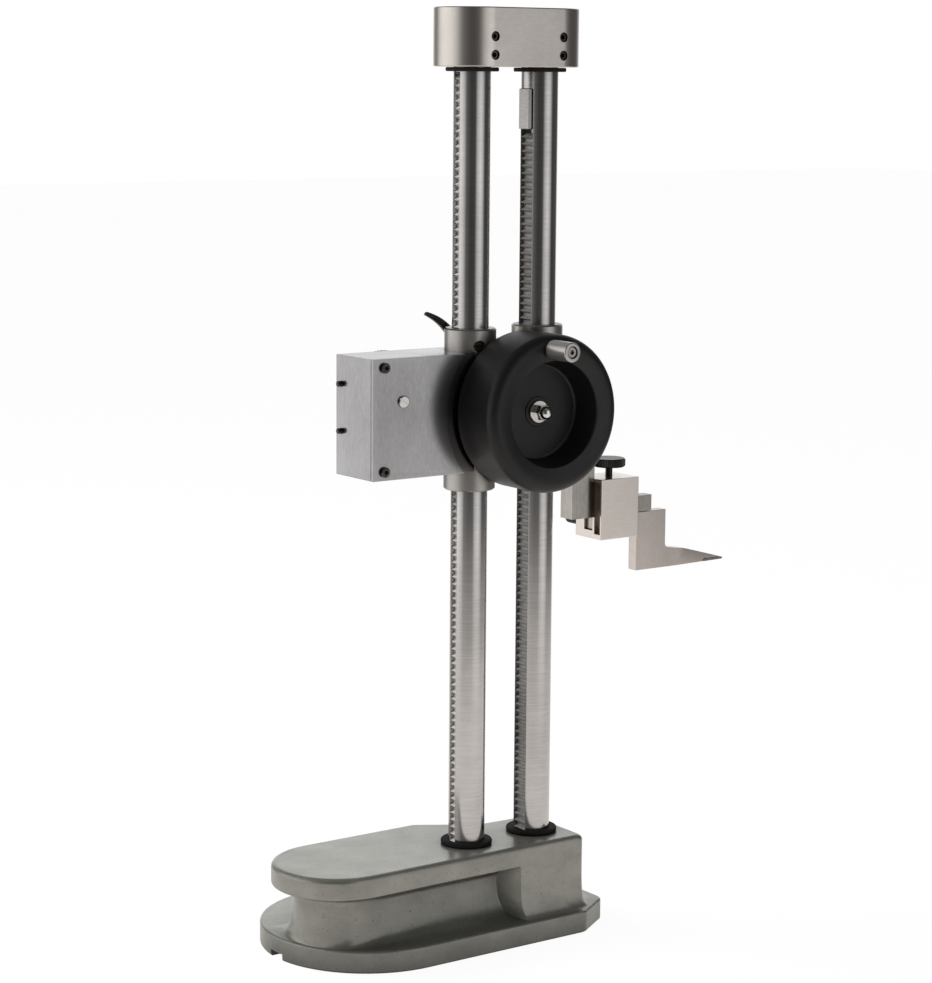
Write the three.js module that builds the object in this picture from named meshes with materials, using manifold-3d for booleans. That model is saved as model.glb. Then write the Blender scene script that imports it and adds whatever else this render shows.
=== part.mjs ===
// Dial height gauge with two columns, a geared slider, a handwheel and a clamped scriber.
// Millimetres, +Z up. The origin is on the ground, midway between the two columns.
// +X points to the scriber, -X to the hand grip, -Y to the handwheel and +Y to the dial.
import * as THREE from 'three'
import { mergeVertices } from 'three/addons/utils/BufferGeometryUtils.js'
import Module from 'manifold-3d'

const wasm = await Module()
wasm.setup()

// Driving dimensions
const fit = { slide: 0.15, seat: 0.2, overrun: 2 }
const sides = { column: 24, rim: 28, round: 20, small: 12, tiny: 8, hex: 6 }

const column = { radius: 10, halfSpacing: 22.5, seatDepth: 34, boltHole: 4.2, boltHoleDepth: 22 }

const base = {
  height: 54, footHeight: 12.4, footNear: 32.6, footFar: 86.4, footEnd: 60.5, footNoseX: 70,
  cornerLength: 23.5, cornerWidth: 15.2, cornerRound: 7.6, near: 24.6, gripFar: 47.2, blockFar: 25.8,
  end: 41.5, noseX: 101, taperStart: 27, taperEnd: 7, endRound: 4, footRound: 1.2, topRound: 1.5,
  bandHeight: 12, gripDepth: 12, neckDrop: 7, pocketX: 3, pocketRound: 9, skirtRise: 10,
  channelWidth: 11.5, reliefDepth: 3.8, reliefNear: 16, reliefMargin: 15, reliefRound: 8,
  headBore: 7.2, headBoreDepth: 11, shankBore: 4.6, finestAngle: 0.045,
}
// How far the wall has drawn in, and how far it has risen, on the skirt and under the grip band.
const skirtShares = [[0.5, 0.18], [0.82, 0.5], [0.95, 1]]
const bandShares = [[0, 0], [0.16, 0.45], [0.55, 0.85], [1, 1]]
const topRoundShares = [[0, 0], [0.3, 0.7], [1, 1]]

const bumper = { radius: 14.2, lowerHeight: 2.2, upperHeight: 2.2 }
const crown = {
  rise: 478, radius: 20.7, height: 31.1, edge: 0.8, seatDepth: 24, screwRise: 6.2, screwPitch: 9.6,
}
const columnBolt = {
  headRadius: 6.5, headHeight: 8, radius: 3.9, engagement: 20.8, socket: 3, socketDepth: 4,
}
const grub = { radius: 2.5, sink: 1, socket: 1.25, socketDepth: 2 }

// Tooth tops and roots, as shares of a module past the pitch line, and tooth corners in a pitch.
const toothShares = { top: 0.8, root: 1, corners: [[0.18, 0], [0.5, 1], [0.82, 0]] }
const driveRack = { width: 10.4, depth: 3.6, sink: 0.15, module: 1.25, slotSide: 0.2 }
const rackStop = { width: 9, height: 21.5, proud: 0.6, belowCrown: 11.35 }
const measureRack = { width: 4.6, depth: 3.4, sink: 0.1, pitch: 4, pinionTeeth: 10, slotSide: 0.2 }

const slider = {
  axisHeight: 296, sleeveRadius: 14, sleeveLength: 87.5, sleeveEdge: 0.8, webHalfWidth: 11,
  webHalfHeight: 36, roomHalfWidth: 5, roomClearance: 0.3, stopGap: 0.3,
}
const lug = { x: 21, aboveCase: 5.7, radius: 5.2, reach: 15.6, bore: 2.4 }
const clampLever = {
  hubRadius: 4.4, hubHeight: 4.4, length: 22, rootWidth: 5.4, tipWidth: 2.2, thickness: 3,
  angleDeg: 144, screwRadius: 2.1, bow: 1.6, steps: 6,
}
const clampPad = { radius: 2.1, length: 1.6 }
const gibScrew = { radius: 3, sink: 0.6, x: 26, rise: 34.8, slotWidth: 1, slotDepth: 1 }

const gearCase = {
  left: 97, right: 19, halfDepth: 17.5, halfHeight: 32, wall: 2.5, faceWall: 1.5, coverThickness: 2,
  wheelClearRadius: 50, recessOverlap: 1.5, recessWall: 1.8, screwInset: 7.2, screwDrop: 4.7,
  bossRadius: 4.4, windowLength: 15, windowHeight: 8.8,
}
const coverScrew = { headRadius: 2.7, headHeight: 1.6, radius: 1.5, length: 8, socket: 1, socketDepth: 0.9 }
const bearingScrew = {
  x: 78, rise: 9, headRadius: 3.1, headHeight: 1.2, radius: 1.6, length: 4, slotWidth: 0.7, slotDepth: 0.6,
}

const dial = {
  x: 64.5, rise: 4.2, radius: 25, thickness: 1, windowLength: 14.6, windowHeight: 5, bore: 1.3,
}
const bezel = {
  outer: 27.5, depth: 6.5, knurls: 24, knurlDepth: 0.5, bore: 24.2, ledge: 23.2,
  skirtDepth: 1.3, crystalSeat: 4.5,
}
const crystal = { thickness: 1.4 }
const bezelLock = { x: 86, z: 26.5, radius: 1.5, headRadius: 3, headHeight: 2.6, length: 3.8 }
const pointer = {
  hub: 2.4, hubHeight: 1.5, length: 20.5, tail: 7, rootWidth: 2, tipWidth: 0.5, thickness: 0.6, lift: 0.8,
}

const train = {
  wheelTeeth: 30, carryTeeth: 6, secondTeeth: 48, pointerTeeth: 6, firstModule: 1,
  firstThickness: 1.2, firstGap: 0.4, secondThickness: 1.4, secondY: 2.6, backlashY: 0.6,
  arborRadius: 0.9, pinionThickness: 1.5, pinionStart: 0.3, pinionEnd: 4.2,
}
const movementPlate = { y: 5, thickness: 2, right: 45, wallGap: 0.3 }
const counter = {
  offset: 12.5, axleY: 12.2, wheelRadius: 5.3, wheelWidth: 4.2, pitch: 4.6, axleRadius: 1.1,
  wheelBore: 1.35, facets: 10, endGap: 0.5, earThickness: 1.1, plateThickness: 1.2, plateY: 4.6,
  earHalfHeight: 3, plateMargin: 4.5, arborHole: 2,
}
const counterDigits = ['hundreds', 'tens', 'units']
const resetButton = { radius: 1.5, reach: 4.2, travel: 1.5, collar: 2.3, collarLength: 1.2, axleGap: 0.9 }

const handwheel = {
  radius: 42.5, back: 16.2, front: 47.5, edge: 6, backEdge: 0.7, rimBackRadius: 37.4, dishRadius: 28.3,
  dishRim: 44.5, dishFloor: 30.5, dishFloorRadius: 26, dishWall: 4.5, frontWall: 6, crest: 34,
  hubRadius: 9, stepRadius: 8, stepHeight: 0.8,
}
const driveShaft = {
  teeth: 8, journal: 6.1, tail: 3, wheelSeat: 4, nose: 2.5, noseLength: 3.8, webGap: 0.3, pinionGap: 0.4,
}
const rackPinion = { teeth: 12, journal: 3, bearing: 4 }
const hubWasher = { radius: 5, thickness: 1.2 }
const capNut = { radius: 4.1, hexHeight: 3.8, domeHeight: 2.4, domeRadius: 3.4 }
const crank = {
  orbit: 35, leanDeg: 5.4, radius: 5.3, length: 17.3, gap: 0.4, edge: 0.9, bore: 2.2, counterbore: 3.3,
  counterboreDepth: 3.4, screwRadius: 2, screwHead: 2.9, screwHeadHeight: 2.4, screwDepth: 5.4,
  socket: 1.4, socketDepth: 1.4,
}

const arm = {
  left: 44.6, right: 60.2, thickness: 7, top: 7, bottom: 66.5, tongueHeight: 9.2, tongueEnd: 103.2,
  corner: 2, padInner: 30, padHalfWidth: 7, padTop: 6, padBottom: 38,
}
const scriberClamp = {
  gap: 0.2, length: 26.7, halfWidth: 11.6, top: 44.7, bottom: 78.8, sideGap: 0.2, windowGap: 0.3,
}
const clampKnob = { x: 74.6, radius: 9.2, thickness: 4.8, neck: 5.4, stem: 2, knurls: 24, knurlDepth: 0.5 }
const sideScrew = {
  x: 65, drop: 70.4, radius: 3.3, headLength: 9, neckLength: 2.4, neckRadius: 2.4, stem: 1.6,
  knurls: 18, knurlDepth: 0.3,
}
const scriber = {
  thickness: 7, shankLeft: 62, shankHeight: 7.2, legLeft: 92.7, legRight: 114, bladeRise: 11.6,
  bladeKnee: 130, kneeRise: 9.2, tipX: 159.5, tipRise: 1.1, tipWidth: 2.2, taperStart: 124, fillet: 2.5,
}
const carbide = { length: 15, thickness: 1.5 }

// Places that follow from the driving dimensions
const leftX = -column.halfSpacing
const rightX = column.halfSpacing
const columnBottom = base.height - column.seatDepth
const columnTop = crown.rise + crown.seatDepth
const sliderHalf = slider.sleeveLength / 2
const lowestSliderBottom = base.height + fit.seat + bumper.lowerHeight + slider.stopGap
const rackStopBottom = crown.rise - rackStop.belowCrown - rackStop.height
const scriberBottom = -sliderHalf - lowestSliderBottom
const rackStart = base.height + fit.seat
const lugRise = gearCase.halfHeight + lug.aboveCase
const coverScrewX = gearCase.left - gearCase.screwInset
const coverScrewZ = gearCase.halfHeight - gearCase.screwDrop
const wheelFront = -handwheel.front
const dialFaceY = gearCase.halfDepth + fit.seat
const coverInner = -gearCase.halfDepth + gearCase.coverThickness
const mergeTolerance = fit.slide * 1e-3

// Solids and meshes
const cleanIndex = (index) => {
  const kept = []
  for (let i = 0; i < index.length; i += 3) {
    const [a, b, c] = [index[i], index[i + 1], index[i + 2]]
    if (a !== b && b !== c && c !== a) kept.push(a, b, c)
  }
  return kept
}

const signedVolume = (position, index) => {
  const [a, b, c] = [new THREE.Vector3(), new THREE.Vector3(), new THREE.Vector3()]
  let volume = 0
  for (let i = 0; i < index.length; i += 3) {
    a.fromBufferAttribute(position, index[i])
    b.fromBufferAttribute(position, index[i + 1])
    c.fromBufferAttribute(position, index[i + 2])
    volume += a.dot(b.cross(c))
  }
  return volume
}

const toSolid = (geometry) => {
  const plain = geometry.index ? geometry.toNonIndexed() : geometry.clone()
  plain.deleteAttribute('normal')
  plain.deleteAttribute('uv')
  const merged = mergeVertices(plain, mergeTolerance)
  const index = cleanIndex(merged.index.array)
  if (signedVolume(merged.attributes.position, index) < 0) index.reverse()
  const mesh = new wasm.Mesh({
    numProp: 3,
    vertProperties: new Float32Array(merged.attributes.position.array),
    triVerts: new Uint32Array(index),
  })
  return new wasm.Manifold(mesh)
}

const toGeometry = (solid) => {
  const mesh = solid.getMesh()
  const geometry = new THREE.BufferGeometry()
  geometry.setAttribute('position', new THREE.BufferAttribute(new Float32Array(mesh.vertProperties), 3))
  geometry.setIndex(new THREE.BufferAttribute(new Uint32Array(mesh.triVerts), 1))
  geometry.computeVertexNormals()
  return geometry
}

const joined = (first, ...others) =>
  toGeometry(others.reduce((sum, g) => sum.add(toSolid(g)), toSolid(first)))
const cut = (first, ...others) =>
  toGeometry(others.reduce((rest, g) => rest.subtract(toSolid(g)), toSolid(first)))
const common = (first, second) => toGeometry(toSolid(first).intersect(toSolid(second)))

const shapeOf = (points) => new THREE.Shape(points.map(([x, y]) => new THREE.Vector2(x, y)))

const turnTo = (geometry, axis) => {
  if (axis === 'x') geometry.rotateZ(-Math.PI / 2)
  if (axis === 'z') geometry.rotateX(Math.PI / 2)
  return geometry
}

// A solid of revolution. The profile holds [radius, place along the axis] pairs.
const turned = (profile, axis, count = sides.round) => {
  const points = profile.map(([radius, along]) => new THREE.Vector2(radius, along))
  return turnTo(new THREE.LatheGeometry(points, count), axis)
}

const disc = (radius, from, to, axis, count = sides.round) =>
  turned([[0, from], [radius, from], [radius, to], [0, to]], axis, count)

const ring = (inner, outer, from, to, axis, count = sides.round) =>
  turned([[inner, from], [outer, from], [outer, to], [inner, to], [inner, from]], axis, count)

const box = (x0, x1, y0, y1, z0, z1) => {
  const geometry = new THREE.BoxGeometry(x1 - x0, y1 - y0, z1 - z0)
  return geometry.translate((x0 + x1) / 2, (y0 + y1) / 2, (z0 + z1) / 2)
}

// An outline in X and Z, extruded from y0 to y1.
const plate = (points, y0, y1) => {
  const geometry = new THREE.ExtrudeGeometry(shapeOf(points), { depth: y1 - y0, bevelEnabled: false })
  return geometry.rotateX(Math.PI / 2).translate(0, y1, 0)
}

// An outline in X and Y, extruded from z0 to z1.
const slab = (points, z0, z1) => {
  const geometry = new THREE.ExtrudeGeometry(shapeOf(points), { depth: z1 - z0, bevelEnabled: false })
  return geometry.translate(0, 0, z0)
}

// Closed loops of equal count, joined in order and closed by a fan at both ends.
const lofted = (loops, centre) => {
  const count = loops[0].length
  const last = (loops.length - 1) * count
  const ends = [loops[0], loops.at(-1)].map((loop) => [...centre, loop[0][2]])
  const index = []
  for (let i = 0; i < count; i += 1) {
    const next = (i + 1) % count
    for (let level = 0; level < last; level += count) {
      index.push(level + i, level + next, level + next + count)
      index.push(level + i, level + next + count, level + i + count)
    }
    index.push(last + count, next, i)
    index.push(last + count + 1, last + i, last + next)
  }
  const geometry = new THREE.BufferGeometry()
  geometry.setAttribute('position', new THREE.Float32BufferAttribute([...loops, ends].flat(2), 3))
  geometry.setIndex(index)
  return geometry
}

const arcPoints = (cx, cy, radius, fromDeg, toDeg, steps, radiusY = radius) => {
  const points = []
  for (let i = 0; i <= steps; i += 1) {
    const angle = THREE.MathUtils.degToRad(fromDeg + (toDeg - fromDeg) * i / steps)
    points.push([cx + radius * Math.cos(angle), cy + radiusY * Math.sin(angle)])
  }
  return points
}

const roundedCorner = (before, corner, after, radius, steps) => {
  const [p, c, q] = [before, corner, after].map(([x, y]) => new THREE.Vector2(x, y))
  const toP = p.clone().sub(c).normalize()
  const toQ = q.clone().sub(c).normalize()
  const half = Math.acos(THREE.MathUtils.clamp(toP.dot(toQ), -1, 1)) / 2
  const reach = radius / Math.tan(half)
  const start = c.clone().addScaledVector(toP, reach)
  const end = c.clone().addScaledVector(toQ, reach)
  const curve = new THREE.QuadraticBezierCurve(start, c, end)
  return curve.getPoints(steps).map((v) => [v.x, v.y])
}

const hexSocket = (radius, from, to, axis) => disc(radius, from, to, axis, sides.hex)

const knurled = (radius, depth, count, from, to, axis) => {
  const points = []
  for (let i = 0; i < 2 * count; i += 1) {
    const angle = Math.PI * i / count
    const reach = i % 2 ? radius - depth : radius
    points.push([reach * Math.cos(angle), reach * Math.sin(angle)])
  }
  return axis === 'y' ? plate(points, from, to) : slab(points, from, to)
}

// Gear teeth. The phase is the direction of the first tooth, from +X to +Z.
const pitchRadius = (teeth, module) => teeth * module / 2
const tipRadius = (teeth, module) => pitchRadius(teeth, module) + toothShares.top * module

const gear = (teeth, module, phase, from, to) => {
  const step = 2 * Math.PI / teeth
  const root = pitchRadius(teeth, module) - toothShares.root * module
  const points = []
  for (let i = 0; i < teeth; i += 1) {
    for (const [share, lift] of toothShares.corners) {
      const angle = phase + (i + share - toothShares.corners[1][0]) * step
      const radius = root + lift * (tipRadius(teeth, module) - root)
      points.push([radius * Math.cos(angle), radius * Math.sin(angle)])
    }
  }
  return plate(points, from, to)
}

// A straight rack from z0 up, with its tooth tops at tipX and its back at backX.
const rackSolid = (pitch, tipX, backX, halfWidth, z0, z1) => {
  const height = (toothShares.top + toothShares.root) * pitch / Math.PI * Math.sign(backX - tipX)
  const teeth = Math.floor((z1 - z0) / pitch)
  const points = [[backX, z0]]
  for (let i = 0; i < teeth; i += 1) {
    for (const [share, lift] of toothShares.corners) {
      points.push([tipX + height * (1 - lift), z0 + (i + share) * pitch])
    }
  }
  points.push([backX, z0 + teeth * pitch])
  return plate(points, -halfWidth, halfWidth)
}

// The phase of a pinion at height z that meshes with a rack on its +X side.
const rackPhase = (teeth, pitch, z) => {
  const share = ((z - rackStart) / pitch - toothShares.corners[1][0]) % 1
  return (0.5 - share) * 2 * Math.PI / teeth
}

// The phase of a gear that meshes with another one, seen from that one in a direction.
const meshPhase = (phase, teeth, nextTeeth, direction) =>
  direction + Math.PI - (phase - direction) * teeth / nextTeeth - Math.PI / nextTeeth

// Scene graph and finishes
const group = new THREE.Group()
const carriage = new THREE.Group()
carriage.position.z = slider.axisHeight
group.add(carriage)

const material = (color, roughness, metalness) =>
  new THREE.MeshStandardMaterial({ color, roughness, metalness })
const finishes = {
  enamel: () => material(0x92918a, 0.5, 0.1),
  ground: () => material(0xc4c2c0, 0.22, 1),
  satin: () => material(0xa9a6a2, 0.4, 1),
  alloy: () => material(0x8e8b88, 0.45, 0.9),
  black: () => material(0x232122, 0.45, 0),
  rubber: () => material(0x161616, 0.8, 0),
  dark: () => material(0x3a3836, 0.45, 0.8),
  brass: () => material(0xb08d4a, 0.35, 1),
  chrome: () => material(0xd2d0cc, 0.12, 1),
  white: () => material(0xf0efea, 0.5, 0),
  glass: () => material(0xf4f6f6, 0.05, 0),
}

const add = (parent, name, geometry, finish) => {
  const mesh = new THREE.Mesh(toGeometry(toSolid(geometry)), finishes[finish]())
  mesh.name = name
  parent.add(mesh)
}

// Base casting: rings of points, stacked from the ground to the top face
const footOutline = (inset) => {
  const near = -base.footNear + inset
  const far = base.footFar - inset
  const end = base.footEnd - inset
  const corners = [
    [-base.footNoseX, near], [end - base.cornerLength, near], [end, near + base.cornerWidth],
    [end, far - base.cornerWidth], [end - base.cornerLength, far], [-base.footNoseX, far],
  ]
  const rounded = [1, 2, 3, 4].flatMap((i) =>
    roundedCorner(corners[i - 1], corners[i], corners[i + 1], base.cornerRound, 2))
  return [...rounded, ...arcPoints(-base.footNoseX, (near + far) / 2, (far - near) / 2, 90, 270, 16)]
}

// The upper part's outline. The grip draws in the nose and both long sides,
// and leaves the block round the columns at its full width.
const upperOutline = (inset, grip) => {
  const near = -base.near + inset
  const far = base.gripFar - inset
  const blockFar = base.blockFar - inset
  const end = base.end - inset
  const nearPocket = -base.pocketX - base.pocketRound
  const farPocket = -base.taperStart - base.pocketRound
  const noseY = (base.gripFar - base.near) / 2
  const noseRadius = (base.gripFar + base.near) / 2 - inset - grip
  return [
    ...arcPoints(nearPocket, near, base.pocketRound, 90, 0, 3, grip),
    ...roundedCorner([nearPocket, near], [end, near], [end, blockFar], base.endRound, 3),
    ...roundedCorner([end, near], [end, blockFar], [base.taperEnd, blockFar], base.endRound, 3),
    [base.taperEnd, blockFar],
    ...arcPoints(farPocket, far, base.pocketRound, 0, -90, 3, grip),
    ...arcPoints(-base.noseX, noseY, noseRadius, 90, 270, 12),
  ]
}

const ringCentre = [-base.taperStart, (base.gripFar - base.near) / 2]

const angleOf = ([x, y]) => Math.atan2(y - ringCentre[1], x - ringCentre[0])

// The distance from the ring centre to an outline, in one direction.
const reachOf = (outline, angle) => {
  const [dx, dy] = [Math.cos(angle), Math.sin(angle)]
  let reach = 0
  for (let i = 0; i < outline.length; i += 1) {
    const [ax, ay] = outline[i]
    const [bx, by] = outline[(i + 1) % outline.length]
    const [px, py] = [ax - ringCentre[0], ay - ringCentre[1]]
    const [ex, ey] = [bx - ax, by - ay]
    const cross = dx * ey - dy * ex
    if (Math.abs(cross) < Number.EPSILON) continue
    const along = (px * ey - py * ex) / cross
    const share = (px * dy - py * dx) / cross
    if (share >= 0 && share <= 1 && along > reach) reach = along
  }
  return reach
}

const baseLoops = () => {
  const [foot, footSoft] = [footOutline(0), footOutline(base.footRound)]
  const [block, topSoft] = [upperOutline(0, 0), upperOutline(base.topRound, 0)]
  const neck = upperOutline(0, base.gripDepth)
  const sorted = [...foot, ...block, ...neck].map(angleOf).sort((a, b) => a - b)
  const angles = sorted.filter((angle, i) => i === 0 || angle - sorted[i - 1] > base.finestAngle)
  const bandBottom = base.height - base.bandHeight
  const levels = [
    [footSoft, foot, 0, 0],
    [foot, foot, 0, base.footRound],
    [foot, foot, 0, base.footHeight - base.footRound],
    [footSoft, foot, 0, base.footHeight],
    ...skirtShares.map(([weight, rise]) =>
      [footSoft, neck, weight, base.footHeight + rise * base.skirtRise]),
    ...bandShares.map(([weight, rise]) =>
      [neck, block, weight, bandBottom + (rise - 1) * base.neckDrop]),
    ...topRoundShares.map(([weight, rise]) =>
      [block, topSoft, weight, base.height + (rise - 1) * base.topRound]),
  ]
  return levels.map(([from, to, weight, z]) => angles.map((angle) => {
    const reach = THREE.MathUtils.lerp(reachOf(from, angle), reachOf(to, angle), weight)
    return [ringCentre[0] + reach * Math.cos(angle), ringCentre[1] + reach * Math.sin(angle), z]
  }))
}

const baseRelief = () => {
  const noseEnd = -base.footNoseX - (base.footFar + base.footNear) / 2
  const [x0, x1] = [noseEnd + base.reliefMargin, base.footEnd - base.reliefMargin]
  const [y0, y1] = [base.reliefNear, base.footFar - base.reliefMargin]
  const corners = [[x0, y0], [x1, y0], [x1, y1], [x0, y1]]
  const outline = corners.flatMap((corner, i) =>
    roundedCorner(corners.at(i - 1), corner, corners[(i + 1) % 4], base.reliefRound, 3))
  const middle = (base.footFar - base.footNear) / 2
  const channel = box(noseEnd - fit.overrun, (x0 + x1) / 2, middle - base.channelWidth / 2,
    middle + base.channelWidth / 2, -fit.overrun, base.reliefDepth)
  return [slab(outline, -fit.overrun, base.reliefDepth), channel]
}

const makeBase = () => {
  const bores = [leftX, rightX].flatMap((x) => [
    disc(column.radius + fit.slide, columnBottom - fit.seat, base.height + fit.overrun, 'z', sides.column),
    disc(base.headBore, -fit.overrun, base.headBoreDepth, 'z'),
    disc(base.shankBore, 0, base.height, 'z', sides.small),
  ].map((g) => g.translate(x, 0, 0)))
  return cut(lofted(baseLoops(), ringCentre), ...bores, ...baseRelief())
}
add(group, 'base_casting', makeBase(), 'enamel')

// Columns with their racks, let in flush, and the stop block above the drive rack
const inColumn = (halfWidth) => Math.sqrt(column.radius ** 2 - halfWidth ** 2)
const driveTipX = rightX - inColumn(driveRack.width / 2) + driveRack.sink
const driveBackX = driveTipX + driveRack.depth
const drivePitch = Math.PI * driveRack.module
const measureTipX = leftX - inColumn(measureRack.width / 2) + measureRack.sink
const measureBackX = measureTipX + measureRack.depth
const measureTop = crown.rise - fit.seat - bumper.upperHeight - fit.seat

const makeColumn = (x) => cut(
  disc(column.radius, columnBottom, columnTop, 'z', sides.column),
  disc(column.boltHole, columnBottom - fit.overrun, columnBottom + column.boltHoleDepth, 'z', sides.small),
).translate(x, 0, 0)

const rackColumn = () => {
  const halfWidth = driveRack.width / 2 + driveRack.slotSide
  const slotTop = rackStopBottom + rackStop.height + fit.seat
  const slot = box(rightX - column.radius - fit.overrun, driveBackX + fit.seat, -halfWidth, halfWidth,
    base.height, slotTop)
  return cut(makeColumn(rightX), slot)
}

const plainColumn = () => {
  const halfWidth = measureRack.width / 2 + measureRack.slotSide
  const slot = box(leftX - column.radius - fit.overrun, measureBackX + fit.seat, -halfWidth, halfWidth,
    base.height, measureTop + fit.seat)
  return cut(makeColumn(leftX), slot)
}

const makeRackStop = () => {
  const halfWidth = rackStop.width / 2
  const front = rightX - column.radius - rackStop.proud
  return box(front, driveBackX, -halfWidth, halfWidth, rackStopBottom, rackStopBottom + rackStop.height)
}

add(group, 'plain_column', plainColumn(), 'ground')
add(group, 'rack_column', rackColumn(), 'ground')
add(group, 'drive_rack', rackSolid(drivePitch, driveTipX, driveBackX, driveRack.width / 2, rackStart,
  rackStopBottom - fit.seat), 'satin')
add(group, 'measuring_rack', rackSolid(measureRack.pitch, measureTipX, measureBackX, measureRack.width / 2,
  rackStart, measureTop), 'satin')
add(group, 'rack_stop', makeRackStop(), 'dark')

// Rubber washers at both ends of the columns, and the bolts from below
const boltRise = base.headBoreDepth - columnBolt.headHeight - fit.seat
const makeColumnBolt = () => cut(
  joined(
    disc(columnBolt.headRadius, 0, columnBolt.headHeight, 'z', sides.small),
    disc(columnBolt.radius, 0, columnBottom + columnBolt.engagement - boltRise, 'z', sides.small),
  ),
  hexSocket(columnBolt.socket, -fit.overrun, columnBolt.socketDepth, 'z'),
)
const makeBumper = (z, height) => ring(column.radius + fit.slide, bumper.radius, z, z + height, 'z')

for (const [side, x] of [['left', leftX], ['right', rightX]]) {
  const upperZ = crown.rise - fit.seat - bumper.upperHeight
  add(group, `column_bolt_${side}`, makeColumnBolt().translate(x, 0, boltRise), 'dark')
  add(group, `lower_bumper_${side}`, makeBumper(rackStart, bumper.lowerHeight).translate(x, 0, 0), 'rubber')
  add(group, `upper_bumper_${side}`, makeBumper(upperZ, bumper.upperHeight).translate(x, 0, 0), 'rubber')
}

// Top block that ties the columns, with two grub screws to each column
const grubPlaces = [['left', leftX], ['right', rightX]].flatMap(([side, x]) =>
  [['lower', 0], ['upper', crown.screwPitch]].map(([row, lift]) => ({
    name: `grub_screw_${side}_${row}`, x, z: crown.rise + crown.screwRise + lift,
  })))

const makeTopBlock = () => {
  const stadium = (radius, z) => [
    ...arcPoints(rightX, 0, radius, -90, 90, 10), ...arcPoints(leftX, 0, radius, 90, 270, 10),
  ].map(([x, y]) => [x, y, z])
  const top = crown.rise + crown.height
  const block = lofted([
    stadium(crown.radius - crown.edge, crown.rise), stadium(crown.radius, crown.rise + crown.edge),
    stadium(crown.radius, top - crown.edge), stadium(crown.radius - crown.edge, top),
  ], [0, 0])
  const bores = [leftX, rightX].map((x) => disc(column.radius + fit.slide, crown.rise - fit.overrun,
    columnTop + fit.seat, 'z', sides.column).translate(x, 0, 0))
  const screwHoles = grubPlaces.map(({ x, z }) =>
    disc(grub.radius + fit.slide, -crown.radius - fit.overrun, 0, 'y', sides.small).translate(x, 0, z))
  return cut(block, ...bores, ...screwHoles)
}
add(group, 'top_block', makeTopBlock(), 'satin')

for (const { name, x, z } of grubPlaces) {
  const front = -crown.radius + grub.sink
  const body = disc(grub.radius, front, -column.radius - fit.seat, 'y', sides.small)
  const socket = hexSocket(grub.socket, front - fit.overrun, front + grub.socketDepth, 'y')
  add(group, name, cut(body, socket).translate(x, 0, z), 'dark')
}

// Places of the drive pinion and of the gear train's arbors, seen from the handwheel's axis
const drivePitchX = driveTipX + toothShares.top * driveRack.module
const rackPinionX = drivePitchX - pitchRadius(rackPinion.teeth, driveRack.module)
const driveDistance = pitchRadius(rackPinion.teeth + driveShaft.teeth, driveRack.module)
const rackPinionZ = Math.sqrt(driveDistance ** 2 - rackPinionX ** 2)
const measureModule = measureRack.pitch / Math.PI
const measurePitchX = measureTipX + toothShares.top * measureModule
const measureX = measurePitchX - pitchRadius(measureRack.pinionTeeth, measureModule)
const pointerX = -dial.x
const pointerZ = dial.rise
const backlashX = -bearingScrew.x
const backlashZ = bearingScrew.rise
const secondDistance = Math.hypot(pointerX - backlashX, pointerZ - backlashZ)
const secondModule = 2 * secondDistance / (train.secondTeeth + train.pointerTeeth)
const firstDistance = pitchRadius(train.wheelTeeth + train.carryTeeth, train.firstModule)

// The carry arbor lies where both gear distances meet, above the line between its neighbours.
const carryPlace = () => {
  const across = Math.hypot(pointerX - measureX, pointerZ)
  const along = (across ** 2 + firstDistance ** 2 - secondDistance ** 2) / (2 * across)
  const lift = Math.sqrt(firstDistance ** 2 - along ** 2)
  const [ux, uz] = [(pointerX - measureX) / across, pointerZ / across]
  return [measureX + along * ux + lift * uz, along * uz - lift * ux]
}
const [carryX, carryZ] = carryPlace()

// Slider body: two sleeves on a web, with rooms for the pinions
const sleeveSolid = (x) => turned([
  [0, -sliderHalf], [slider.sleeveRadius - slider.sleeveEdge, -sliderHalf],
  [slider.sleeveRadius, -sliderHalf + slider.sleeveEdge],
  [slider.sleeveRadius, sliderHalf - slider.sleeveEdge],
  [slider.sleeveRadius - slider.sleeveEdge, sliderHalf], [0, sliderHalf],
], 'z', sides.rim).translate(x, 0, 0)

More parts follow.
